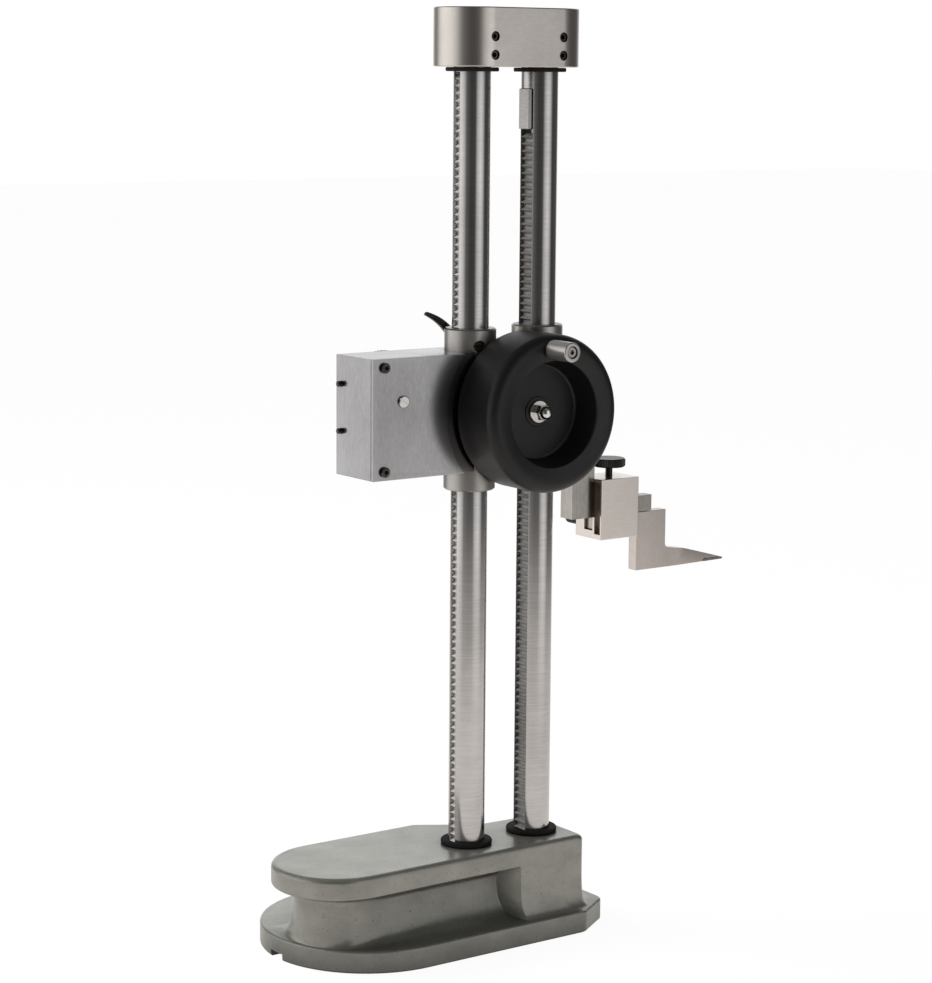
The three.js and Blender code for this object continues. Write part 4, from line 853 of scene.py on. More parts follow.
@dataclass
class BaseCasting:
    """The cast base: a foot, a skirt, a groove for the fingers and a block round the columns."""

    foot_height: float = 12.4
    foot_near: float = 32.6
    foot_far: float = 86.4
    foot_end: float = 60.5
    foot_nose_x: float = 70.0
    corner_length: float = 23.5
    corner_width: float = 15.2
    corner_round: float = 7.6
    near: float = 24.6
    grip_far: float = 47.2
    block_far: float = 25.8
    end: float = 41.5
    nose_x: float = 100.05
    taper_start: float = 27.0
    taper_end: float = 7.0
    end_round: float = 4.0
    foot_round: float = 1.2
    top_round: float = 2.8
    band_height: float = 12.0
    lip_round: float = 1.6
    grip_depth: float = 12.0
    neck_drop: float = 7.0
    pocket_x: float = 3.0
    pocket_round: float = 9.0
    skirt_rise: float = 22.6
    skirt_reach: float = 24.0
    channel_width: float = 11.5
    relief_depth: float = 3.8
    relief_near: float = 16.0
    relief_margin: float = 15.0
    relief_round: float = 8.0
    finest_angle: float = 0.004
    column_seat: float = 20.0
    bolt_bore: float = 7.2
    bolt_bore_depth: float = 11.0
    bolt: Screw = Screw(6.5, 8.0, 0.5, socket=3.0, depth=4.0)
    bumper: Bumper = Bumper()

    def foot_outline(self, inset: float) -> list[Pair]:
        """Draws the foot's outline.

        Args:
            inset: How far it is drawn in.

        Returns:
            Its points, from the near side round the end to the nose.
        """
        near, far, end = inset - self.foot_near, self.foot_far - inset, self.foot_end - inset
        nose, cut = -self.foot_nose_x, end - self.corner_length
        corners = [(nose, near), (cut, near), (end, near + self.corner_width),
                   (end, far - self.corner_width), (cut, far), (nose, far)]
        points: list[Pair] = []
        for i in range(1, 5):
            points += fillet(corners[i - 1], corners[i], corners[i + 1], self.corner_round, 8)
        return points + arc((nose, (near + far) / 2), (far - near) / 2, 90, 270, 64)

    def upper_outline(self, inset: float, grip: float) -> list[Pair]:
        """Draws the upper part's outline.

        Args:
            inset: How far it is drawn in.
            grip: How far the nose and the long sides are drawn in besides.

        Returns:
            Its points, in the order of the foot's.
        """
        near, far = inset - self.near, self.grip_far - inset
        block_far, end = self.block_far - inset, self.end - inset
        near_pocket, far_pocket = -self.pocket_x - self.pocket_round, -self.taper_start - self.pocket_round
        nose_y = (self.grip_far - self.near) / 2
        nose_radius = (self.grip_far + self.near) / 2 - inset - grip
        return [
            *arc((near_pocket, near), self.pocket_round, 90, 0, 12, grip),
            *fillet((near_pocket, near), (end, near), (end, block_far), self.end_round, 8),
            *fillet((end, near), (end, block_far), (self.taper_end, block_far), self.end_round, 8),
            (self.taper_end, block_far),
            *arc((far_pocket, far), self.pocket_round, 0, -90, 12, grip),
            *arc((-self.nose_x, nose_y), nose_radius, 90, 270, 56),
        ]

    @property
    def middle(self) -> Pair:
        """The point that every level of the casting is drawn round."""
        return -self.taper_start, (self.grip_far - self.near) / 2

    def angles(self) -> list[float]:
        """Finds the directions of all outline points, seen from the middle.

        Returns:
            The angles in rising order, without near repeats.
        """
        points = [*self.foot_outline(0), *self.upper_outline(0, 0), *self.upper_outline(0, self.grip_depth)]
        found = sorted(math.atan2(y - self.middle[1], x - self.middle[0]) for x, y in points)
        kept = [found[0]]
        for angle in found[1:]:
            if angle - kept[-1] > self.finest_angle:
                kept.append(angle)
        return kept

    def reaches(self, outline: list[Pair], angles: list[float]) -> list[float]:
        """Measures how far an outline is from the middle.

        Args:
            outline: The outline's points.
            angles: The directions to measure in.

        Returns:
            The distance in each direction.
        """
        points = [Vector(point) - Vector(self.middle) for point in outline]
        found = []
        for way in (Vector((math.cos(angle), math.sin(angle))) for angle in angles):
            sides = [way.cross(point) for point in points]
            found.append(max(
                a.lerp(b, side / (side - other)).dot(way)
                for a, b, side, other in zip(points, points[1:] + points[:1], sides, sides[1:] + sides[:1])
                if side * other <= TOUCHING and side != other))
        return found

    def rings(self, angles: list[float]) -> list[tuple[list[float], float]]:
        """Works out the levels of the casting.

        Args:
            angles: The directions of a ring's points.

        Returns:
            The reaches and the height of each ring, from the ground up.
        """
        foot, foot_soft, block, top_soft, neck = (self.reaches(outline, angles) for outline in (
            self.foot_outline(0), self.foot_outline(self.foot_round), self.upper_outline(0, 0),
            self.upper_outline(self.top_round, 0), self.upper_outline(0, self.grip_depth)))
        lip = [b - min(self.lip_round, (b - n) / 3) for b, n in zip(block, neck)]
        hem = [min(f - SEAT, n + self.skirt_reach) for f, n in zip(foot_soft, neck)]
        band_bottom = BASE_HEIGHT - self.band_height
        edge = quarter_shares(0, 22.5, 45, 67.5, 90)
        throat = quarter_shares(20, 35, 50, 65, 78, 90)
        skirt = geometry.interpolate_bezier((0, 0), (0.66, 0), (1, 0.16), (1, 1), 14)
        levels = [
            *((foot_soft, foot, up, self.foot_round * (1 - out)) for up, out in edge),
            *((foot, foot_soft, 1 - out, self.foot_height - self.foot_round * (1 - up)) for up, out in edge),
            *((hem, neck, p[0], self.foot_height + p[1] * self.skirt_rise) for p in skirt),
            *((neck, lip, 1 - out, band_bottom + (up - 1) * self.neck_drop) for up, out in throat),
            *((lip, block, up, band_bottom + self.lip_round * (1 - out)) for up, out in edge[1:]),
            *((block, top_soft, 1 - out, BASE_HEIGHT - self.top_round * (1 - up)) for up, out in edge),
        ]
        return [([a + (b - a) * share for a, b in zip(first, second)], height)
                for first, second, share, height in levels]

    def loft(self) -> Form:
        """Builds the casting by drawing a ring up from level to level.

        Returns:
            The casting, still without bores.
        """
        angles = self.angles()
        x, y = self.middle
        form = Form()
        bmesh.ops.create_circle(form.bm, cap_ends=True, cap_tris=False, segments=len(angles), radius=1.0)
        form.bm.faces.ensure_lookup_table()
        cap = form.bm.faces[0]
        for i, (reaches, z) in enumerate(self.rings(angles)):
            if i:
                grown = bmesh.ops.extrude_face_region(form.bm, geom=[cap], use_keep_orig=True)
                if i > 1:
                    form.bm.faces.remove(cap)
                cap = next(item for item in grown["geom"] if isinstance(item, bmesh.types.BMFace))
            for loop, angle, reach in zip(cap.loops, angles, reaches):
                loop.vert.co = (x + reach * math.cos(angle), y + reach * math.sin(angle), z)
        return form.outward()

    def relief(self) -> list[Form]:
        """Makes the shapes that are cut out of the underside.

        Returns:
            The shallow pocket and the channel.
        """
        nose = -self.foot_nose_x - (self.foot_far + self.foot_near) / 2
        low = (nose + self.relief_margin, self.relief_near)
        high = (self.foot_end - self.relief_margin, self.foot_far - self.relief_margin)
        corners = [low, (high[0], low[1]), high, (low[0], high[1])]
        outline: list[Pair] = []
        for i in range(4):
            outline += fillet(corners[i - 1], corners[i], corners[(i + 1) % 4], self.relief_round, 6)
        middle = (self.foot_far - self.foot_near) / 2
        half = self.channel_width / 2
        channel = Form.brick((nose - OVERRUN, middle - half, -OVERRUN), (0, middle + half, self.relief_depth))
        return [Form.prism(outline, Axis.Z, -OVERRUN, self.relief_depth), channel]

    def make(self) -> None:
        """Makes the casting, its bolts and the rubber washers on it."""
        casting = self.loft().cut(*self.relief())
        for side, x in COLUMNS:
            casting.cut(
                Form.bar(self.bolt_bore, -OVERRUN, self.bolt_bore_depth, centre=(x, 0, 0)),
                Form.bar(COLUMN_RADIUS + SLIDE, self.column_seat - SEAT, BASE_HEIGHT + OVERRUN,
                         centre=(x, 0, 0), steps=FINE))
            head = self.bolt.form(self.bolt_bore_depth - SEAT, Axis.Z).shift(x)
            head.piece(f"bolt_head_{side}", "stand", BLACK_OXIDE, f"column_bolt_{side}")
            bumper = self.bumper.form(x, BASE_HEIGHT + SEAT)
            bumper.piece(f"lower_washer_{side}", "stand", RUBBER, f"lower_bumper_{side}")
        casting.piece("base_body", "stand", ENAMEL, "base_casting", crease=40.0)


@dataclass
class Columns:
    """The two ground bars with their racks, the stop on the right one and the block on top."""

    bottom: float = 20.0
    top: float = 502.0
    edge: float = 0.8
    drive_slot_half: float = 5.4
    drive_slot_depth: float = 17.908
    drive_slot_top: float = 466.85
    measure_slot_half: float = 2.5
    measure_slot_depth: float = -28.532
    measure_slot_top: float = 475.4
    block_radius: float = 20.7
    block_height: float = 31.1
    block_edge: float = 0.8
    screw_sink: float = 1.0
    screw_rises: Pair = (6.2, 15.8)
    stop_edge: float = 0.4
    grub: Screw = Screw(2.5, 9.5, 0.4, socket=1.35, steps=SMALL)
    bumper: Bumper = Bumper()

    def bar(self, x: float, half: float, depth: float, top: float) -> Form:
        """Makes one bar with the slot that its rack lies in.

        Args:
            x: The bar's place.
            half: Half the slot's width.
            depth: The place of the slot's floor.
            top: The height of the slot's upper end.

        Returns:
            The bar.
        """
        blank = Form.bar(COLUMN_RADIUS, self.bottom, self.top, centre=(x, 0, 0), edge=self.edge, steps=SMOOTH)
        return blank.cut(Form.brick((x - COLUMN_RADIUS - OVERRUN, -half, BASE_HEIGHT), (depth, half, top)))

    def block(self) -> Form:
        """Makes the block that ties the columns.

        Returns:
            The block, with its bores and screw holes.
        """
        outline = arc((COLUMN_X, 0), self.block_radius, -90, 90, 40)
        outline += arc((-COLUMN_X, 0), self.block_radius, 90, 270, 40)
        block = Form.prism(outline, Axis.Z, CROWN_HEIGHT, CROWN_HEIGHT + self.block_height)
        block.soften(self.block_edge, 3)
        for _, x in COLUMNS:
            block.cut(Form.bar(COLUMN_RADIUS + SLIDE, CROWN_HEIGHT - OVERRUN, self.top + SEAT,
                               centre=(x, 0, 0), steps=FINE))
            for rise in self.screw_rises:
                block.cut(Form.pin(self.grub.head + SLIDE, -self.block_radius - OVERRUN, 0, x,
                                   CROWN_HEIGHT + rise))
        return block

    def make(self) -> None:
        """Makes the bars, the block, its screws and the washers under it."""
        self.bar(-COLUMN_X, self.measure_slot_half, self.measure_slot_depth, self.measure_slot_top).piece(
            "left_bar", "stand", GROUND_BAR, "plain_column")
        self.bar(COLUMN_X, self.drive_slot_half, self.drive_slot_depth, self.drive_slot_top).piece(
            "right_bar", "stand", GROUND_BAR, "rack_column")
        dress(RACK_STEEL, "drive_rack")
        dress(PLATED_RACK, "measuring_rack")
        Form.copied("rack_stop").soften(self.stop_edge).piece("stop_block", "stand", STOP_STEEL, "rack_stop")
        self.block().piece("crown_block", "stand", CROWN_PLATE, "top_block")
        seat = self.screw_sink + self.grub.height - self.block_radius
        for side, x in COLUMNS:
            bumper = self.bumper.form(x, CROWN_HEIGHT - SEAT - self.bumper.height)
            bumper.piece(f"upper_washer_{side}", "stand", RUBBER, f"upper_bumper_{side}")
            for row, rise in zip(("lower", "upper"), self.screw_rises):
                screw = self.grub.form(seat).shift(x, 0, CROWN_HEIGHT + rise)
                screw.piece(f"grub_{side}_{row}", "stand", BLACK_OXIDE, f"grub_screw_{side}_{row}")


@dataclass
class SliderBody:
    """The geared slider on the columns: two sleeves on a web, the column clamp and the gib screw."""

    sleeve_radius: float = 14.0
    sleeve_half: float = 43.75
    sleeve_edge: float = 0.8
    web_half_width: float = 11.0
    web_half_height: float = 36.0
    lug: Pair = (-21.0, 37.7)
    lug_radius: float = 5.2
    lug_reach: float = 15.6
    lug_edge: float = 0.4
    lug_bore: float = 2.4
    pad_low: Triple = (30.0, -7.0, -38.0)
    pad_high: Triple = (44.4, 7.0, -6.0)
    pad_edge: float = 0.6
    room_half: float = 5.0
    pinion_room: float = 6.25
    idler: Pair = (7.6083, 9.9178)
    idler_room: float = 8.8
    idler_bore_start: float = -9.2
    shaft_bore: float = 3.15
    arbor_x: float = -37.4795
    arbor_room: float = 7.69
    arbor_room_half: float = 2.5
    gib: Pair = (-26.0, 34.8)
    gib_radius: float = 3.0
    gib_edge: float = 0.3
    gib_slot: float = 1.0
    gib_sink: float = 0.6
    lever_steps: int = 16
    lever_length: float = 22.0
    lever_bow: float = 1.6
    lever_half: float = 2.7
    lever_taper: float = 1.6
    lever_back: float = 17.2
    lever_front: float = 20.2
    lever_edge: float = 0.7
    lever_turn: float = -144.0
    hub_radius: float = 4.4
    hub_back: float = 15.8
    hub_edge: float = 0.6
    pin_radius: float = 2.1
    pin_ends: Pair = (11.9, 16.5)

    def body(self) -> Form:
        """Makes the sleeves and the web as one.

        Returns:
            The body, with its bores and the rooms for the gears.
        """
        width, length = self.web_half_width, self.sleeve_half
        form = Form.brick((-COLUMN_X, -width, -self.web_half_height), (COLUMN_X, width, self.web_half_height))
        form.join(Form.brick(self.pad_low, self.pad_high).soften(self.pad_edge))
        for _, x in COLUMNS:
            form.join(Form.bar(self.sleeve_radius, -length, length, centre=(x, 0, 0),
                               edge=self.sleeve_edge, steps=FINE))
        form.join(Form.bar(self.lug_radius, 0, self.lug_reach, Axis.Y, (self.lug[0], 0, self.lug[1]),
                           edge=self.lug_edge))
        for _, x in COLUMNS:
            form.cut(Form.bar(COLUMN_RADIUS + SLIDE, -length - OVERRUN, length + OVERRUN,
                              centre=(x, 0, 0), steps=SMOOTH))
        return form.cut(
            Form.bar(self.idler_room, -self.room_half, self.room_half, Axis.Y,
                     (self.idler[0], 0, self.idler[1])),
            Form.bar(self.pinion_room, -width - OVERRUN, self.room_half, Axis.Y),
            Form.pin(self.shaft_bore, 0, width + OVERRUN),
            Form.pin(self.shaft_bore, self.idler_bore_start, width + OVERRUN, *self.idler),
            Form.bar(self.arbor_room, -self.arbor_room_half, self.arbor_room_half, Axis.Y,
                     (self.arbor_x, 0, 0)),
            Form.pin(self.lug_bore, 0, self.lug_reach + OVERRUN, *self.lug),
            Form.pin(self.gib_radius + SLIDE, -self.sleeve_radius - OVERRUN, 0, *self.gib))

    def lever(self) -> Form:
        """Makes the curved clamp lever.

        Returns:
            The lever with its hub and its screw.
        """
        shares = [i / self.lever_steps for i in range(self.lever_steps + 1)]
        spine = [(self.lever_length * share, self.lever_bow * math.sin(math.pi * share),
                  self.lever_half - self.lever_taper * share) for share in shares]
        outline = [(x, -sag - half) for x, sag, half in spine]
        outline += [(x, half - sag) for x, sag, half in reversed(spine)]
        form = Form.prism(outline, Axis.Y, self.lever_back, self.lever_front).soften(self.lever_edge, 3)
        form.join(Form.bar(self.hub_radius, self.hub_back, self.lever_front, Axis.Y, edge=self.hub_edge),
                  Form.pin(self.pin_radius, *self.pin_ends))
        return form.turn(self.lever_turn, Axis.Y).on_slider(*self.lug)

    def make(self) -> None:
        """Makes the slider's body, its lever and its gib screw."""
        self.body().on_slider().piece("slider_casting", "slider", SATIN_PLATE, "slider_body")
        self.lever().piece("column_clamp_lever", "lever", BLACK_OXIDE, "clamp_lever")
        seat = -COLUMN_RADIUS - SEAT
        front = self.gib_sink - math.sqrt(self.sleeve_radius**2 - (self.gib[0] + COLUMN_X) ** 2)
        gib = Screw(self.gib_radius, seat - front, self.gib_edge, slot=self.gib_slot, depth=self.gib_slot)
        gib.form(seat).on_slider(*self.gib).piece("slotted_gib_screw", "slider", BLACK_OXIDE, "gib_screw")
        dress(TURNED_BRASS, "clamp_pad")


@dataclass
class GearCase:
    """The case of the gear train on the left sleeve, its cover, screws and reset buttons."""

    left: float = 97.0
    right: float = 19.0
    half_depth: float = 17.5
    half_height: float = 32.0
    wall: float = 2.5
    face_wall: float = 1.5
    case_edge: float = 0.5
    cover_inner: float = -15.5
    cover_edge: float = 0.35
    wheel_clear: float = 50.0
    recess_radius: float = 51.5
    recess_front: float = -12.4
    recess_floor: float = -14.2
    sleeve_room: float = 14.2
    sleeve_opening: float = 29.5
    screw: Screw = Screw(2.7, 1.6, 0.4, 1.5, 8.0, socket=1.3, depth=1.2)
    screw_x: float = -89.8
    screw_z: float = 27.3
    screw_bore: float = 1.65
    screw_bore_end: float = -7.5
    boss_radius: float = 4.4
    boss_end: float = -5.2
    bearing_screw: Screw = Screw(3.1, 1.2, 0.35, 1.6, 4.0, slot=0.7, depth=0.6)
    bearing: Pair = (-78.0, 9.0)
    bearing_bore: float = 1.75
    bearing_turn: float = 35.0
    arbor_bore: float = 1.05
    back_arbor_x: float = -37.48
    arbors: tuple[Pair, ...] = ((-37.4795, 0.0), (-51.8223, 10.8758), (-64.5, 4.2))
    bezel_lock: Pair = (-86.0, 26.5)
    counter_heights: Pair = (16.7, -8.3)
    window_sides: Pair = (-72.0, -57.0)
    window_back: float = 14.0
    window_half: float = 4.4
    button_y: float = 12.2
    button_radius: float = 1.5
    button_bore: float = 1.7
    button_edge: float = 0.4
    button_reach: float = 2.8
    button_end: float = -74.35
    collar_radius: float = 2.3
    collar_width: float = 1.2

    def sleeve_cut(self) -> Form:
        """Returns the space that the left sleeve takes."""
        return Form.bar(self.sleeve_room, -self.half_height - OVERRUN, self.half_height + OVERRUN,
                        centre=(-COLUMN_X, 0, 0), steps=FINE)

    def wheel_cut(self) -> Form:
        """Returns the space that the handwheel turns in."""
        return Form.bar(self.wheel_clear, -self.half_depth - OVERRUN, self.recess_floor, Axis.Y,
                        steps=SMOOTHEST)

    def case(self) -> Form:
        """Makes the case.

        Returns:
            The case with its recess, bosses, windows and holes.
        """
        back, top, margin = self.cover_inner + SEAT, self.half_height, self.wall / 2
        form = Form.brick((-self.left, back, -top), (-self.right, self.half_depth, top))
        form.soften(self.case_edge)
        form.cut(Form.brick((self.wall - self.left, back - OVERRUN, self.wall - top),
                            (-self.right - self.wall, self.half_depth - self.face_wall, top - self.wall)))
        recess = Form.bar(self.recess_radius, back, self.recess_front, Axis.Y, steps=SMOOTHEST)
        form.join(recess.combine("INTERSECT", Form.brick((margin - self.left, back, margin - top),
                                                         (-self.right, 0, top - margin))))
        for z in (self.screw_z, -self.screw_z):
            form.join(Form.pin(self.boss_radius, back, self.boss_end, self.screw_x, z))
            form.cut(Form.pin(self.screw_bore, back - OVERRUN, self.screw_bore_end, self.screw_x, z))
        far = self.half_depth + OVERRUN
        for z in self.counter_heights:
            form.cut(Form.brick((self.window_sides[0], self.window_back, z - self.window_half),
                                (self.window_sides[1], far, z + self.window_half)),
                     Form.bar(self.button_bore, -self.left - OVERRUN, self.wall + OVERRUN - self.left, Axis.X,
                              (0, self.button_y, z), steps=SMALL))
        form.cut(self.sleeve_cut(), self.wheel_cut(),
                 Form.brick((-self.sleeve_opening, -far, -top - OVERRUN), (0, 0, top + OVERRUN)),
                 Form.pin(self.arbor_bore, back - OVERRUN, 0, self.back_arbor_x),
                 Form.pin(self.screw_bore, 0, far, *self.bezel_lock))
        return form.cut(*(Form.pin(self.arbor_bore, 0, far, x, z) for x, z in self.arbors))

    def cover(self) -> Form:
        """Makes the back cover.

        Returns:
            The cover with the hollow that clears the handwheel, and its holes.
        """
        near = -self.half_depth - OVERRUN
        form = Form.brick((-self.left, -self.half_depth, -self.half_height),
                          (-self.right, self.cover_inner, self.half_height)).soften(self.cover_edge)
        form.cut(self.wheel_cut())
        for z in (self.screw_z, -self.screw_z):
            form.cut(Form.pin(self.screw_bore, near, 0, self.screw_x, z))
        return form.cut(Form.pin(self.bearing_bore, near, 0, *self.bearing))

    def make(self) -> None:
        """Makes the case, the cover, the screws and the buttons."""
        self.case().on_slider().piece("case_shell", "slider", CASE_ALLOY, "gear_case")
        self.cover().on_slider().piece("case_cover", "slider", CASE_ALLOY, "back_cover")
        seat = -self.half_depth - SEAT
        for row, z in (("upper", self.screw_z), ("lower", -self.screw_z)):
            screw = self.screw.form(seat).on_slider(self.screw_x, z)
            screw.piece(f"case_screw_{row}", "slider", BLACK_OXIDE, f"cover_screw_{row}")
        bearing = self.bearing_screw.form(seat).turn(self.bearing_turn, Axis.Y)
        bearing.on_slider(*self.bearing).piece("bearing_screw_head", "slider", CHROME, "bearing_screw")
        collar = self.wall - self.left + SEAT
        for side, z in zip(("up", "down"), self.counter_heights):
            button = Form.bar(self.button_radius, -self.left - self.button_reach, self.button_end, Axis.X,
                              edge=self.button_edge, steps=SMALL)
            button.join(Form.bar(self.collar_radius, collar, collar + self.collar_width, Axis.X, steps=SMALL))
            button.shift(0, self.button_y, AXIS_HEIGHT + z).piece(
                f"reset_pin_{side}", f"{side}_button", BLACK_OXIDE, f"reset_button_{side}")
        dress(TURNED_BRASS, "movement_plate", "measuring_arbor", "carry_arbor", "pointer_arbor",
              "backlash_arbor")


@dataclass
class DialSide:
    """The dial, its graduations and pointer, the two counters, and the turning bezel over them."""

    x: float = -64.5
    z: float = 300.2
    face_y: float = 18.7
    plate_y: float = 17.7
    radius: float = 25.0
    plate_edge: float = 0.2
    window_half: Pair = (7.3, 2.5)
    plate_bore: float = 1.3
    tick_outer: float = 22.6
    ticks: tuple[Pair, ...] = ((1.8, 0.16), (2.6, 0.22), (3.4, 0.22))
    number_radius: float = 16.9
    number_size: float = 3.2
    print_height: float = 0.04
    bezel_back: float = 17.85
    bezel_depth: float = 6.5
    bezel_radius: float = 27.5
    bezel_knurls: int = 90
    bezel_knurl: float = 0.45
    bezel_edge: float = 0.5
    bezel_rooms: tuple[Triple, ...] = ((25.2, -2.0, 1.3), (23.2, 0.0, 5.0), (24.2, 4.5, 8.5))
    crystal_radius: float = 24.0
    crystal_faces: Pair = (22.5, 23.9)
    crystal_edge: float = 0.15
    hand_outline: tuple[Pair, ...] = ((-1.0, -7.0), (1.0, -7.0), (0.25, 20.5), (-0.25, 20.5))
    hand_faces: Pair = (19.5, 20.1)
    hand_edge: float = 0.1
    hand_hub: Pair = (2.4, 21.0)
    hand_hub_edge: float = 0.3
    hand_bore: float = 1.05
    lock_place: Pair = (-86.0, 322.5)
    lock_radius: float = 3.0
    lock_height: float = 2.6
    lock_knurls: int = 24
    lock_knurl: float = 0.25
    lock_edge: float = 0.2
    lock_shank: Triple = (1.5, -3.8, 0.5)
    counter_heights: Pair = (312.7, 287.7)
    readings: tuple[str, str] = ("196", "804")
    drum_y: float = 12.2
    drum_radius: float = 5.3
    drum_half: float = 2.1
    drum_pitch: float = 4.6
    drum_bore: float = 1.35
    drum_edge: float = 0.25
    digit_size: float = 3.4
    digit_height: float = 0.05

    def facing(self, x: float, y: float, z: float) -> Matrix:
        """Returns the place of a figure that stands at a point and faces the dial side."""
        upright = Matrix.Rotation(math.radians(180), 4, "Z") @ Matrix.Rotation(math.radians(90), 4, "X")
        return Matrix.Translation((x, y, z)) @ upright

    def plate(self) -> Form:
        """Makes the dial plate.

        Returns:
            The plate with its two windows and its bore.
        """
        near, far = self.drum_y - OVERRUN, self.radius
        form = Form.bar(self.radius, self.plate_y, self.face_y, Axis.Y, (self.x, 0, self.z),
                        edge=self.plate_edge, steps=FINE)
        across, up = self.window_half
        for z in self.counter_heights:
            form.cut(Form.brick((self.x - across, near, z - up), (self.x + across, far, z + up)))
        return form.cut(Form.pin(self.plate_bore, near, far, self.x, self.z))

    def graduations(self) -> Form:
        """Makes the hundred graduations and the numbers at each tenth.

        Returns:
            All of them as one form.
        """
        form = Form()
        for i in range(100):
            length, half = self.ticks[(i % 5 == 0) + (i % 10 == 0)]
            tick = Form.brick((-half, self.face_y, self.tick_outer - length),
                              (half, self.face_y + self.print_height, self.tick_outer))
            form.gather(tick.turn(-3.6 * i, Axis.Y).shift(self.x, 0, self.z))
        for i in range(10):
            angle = math.radians(36 * i)
            place = self.facing(self.x - self.number_radius * math.sin(angle), self.face_y,
                                self.z + self.number_radius * math.cos(angle))
            form.gather(figure(str(i * 10), self.number_size, self.print_height, place))
        return form

    def digits(self, x: float, z: float, shown: int) -> Form:
        """Makes the ten digits of a number wheel.

        Args:
            x: The wheel's place.
            z: Its height.
            shown: The digit that shows in the window.

        Returns:
            All of them as one form.
        """
        form = Form()
        flat = self.drum_radius * math.cos(math.radians(18))
        for step in range(10):
            turned = Matrix.Rotation(math.radians(-36 * step), 4, "X")
            place = Matrix.Translation((x, self.drum_y, z)) @ turned @ self.facing(0, flat, 0)
            form.gather(figure(str((shown + step) % 10), self.digit_size, self.digit_height, place))
        return form

    def counters(self) -> None:
        """Makes the six number wheels, which have ten sides, with their digits."""
        for side, reading, z in zip(("up", "down"), self.readings, self.counter_heights):
            for i, (rank, shown) in enumerate(zip(("hundreds", "tens", "units"), reading)):
                x = self.x + (1 - i) * self.drum_pitch
                wheel = Form.bar(self.drum_radius, -self.drum_half, self.drum_half, Axis.X,
                                 edge=self.drum_edge, steps=10, bore=self.drum_bore)
                wheel.turn(18, Axis.X).shift(x, self.drum_y, z).piece(
                    f"{side}_wheel_{rank}", f"{side}_{rank}", PHENOLIC, f"{side}_counter_{rank}", crease=20.0)
                self.digits(x, z, int(shown)).piece(f"{side}_digits_{rank}", f"{side}_{rank}", WHITE_PRINT)

    def bezel(self) -> Form:
        """Makes the knurled bezel.

        Returns:
            The bezel, open for the dial and the crystal.
        """
        rim = Form.knurled(self.bezel_radius, self.bezel_knurl, self.bezel_knurls, self.bezel_back,
                           self.bezel_back + self.bezel_depth, Axis.Y, self.bezel_edge)
        for radius, start, end in self.bezel_rooms:
            rim.cut(Form.bar(radius, self.bezel_back + start, self.bezel_back + end, Axis.Y, steps=FINE))
        return rim.shift(self.x, 0, self.z)

    def pointer(self) -> Form:
        """Makes the pointer.

        Returns:
            The pointer with its hub and bore.
        """
        back, front = self.hand_faces
        radius, end = self.hand_hub
        form = Form.prism(self.hand_outline, Axis.Y, back, front).soften(self.hand_edge)
        form.join(Form.bar(radius, back, end, Axis.Y, edge=self.hand_hub_edge))
        form.cut(Form.pin(self.hand_bore, back - OVERRUN, end + OVERRUN))
        return form.shift(self.x, 0, self.z)

    def make(self) -> None:
        """Makes everything on the dial side."""
        self.plate().piece("dial_face", "slider", DIAL_WHITE, "dial_plate")
        self.graduations().piece("dial_graduations", "slider", BLACK_PRINT)
        self.counters()
        dress(SATIN_PLATE, "counter_frame", "up_counter_axle", "down_counter_axle")
        self.bezel().piece("bezel_ring", "dial_bezel", SATIN_PLATE, "bezel", crease=25.0)
        glass = Form.bar(self.crystal_radius, *self.crystal_faces, Axis.Y, (self.x, 0, self.z),
                         edge=self.crystal_edge, steps=FINE)
        glass.piece("bezel_crystal", "dial_bezel", CRYSTAL, "crystal")
        self.pointer().piece("dial_pointer", "hand", BLACK_PRINT, "pointer")
        lock = Form.knurled(self.lock_radius, self.lock_knurl, self.lock_knurls, self.plate_y,
                            self.plate_y + self.lock_height, Axis.Y, self.lock_edge)
        radius, start, end = self.lock_shank
        lock.join(Form.pin(radius, self.plate_y + start, self.plate_y + end))
        lock.shift(self.lock_place[0], 0, self.lock_place[1]).piece(
            "bezel_lock", "slider", SATIN_PLATE, "bezel_lock_screw")


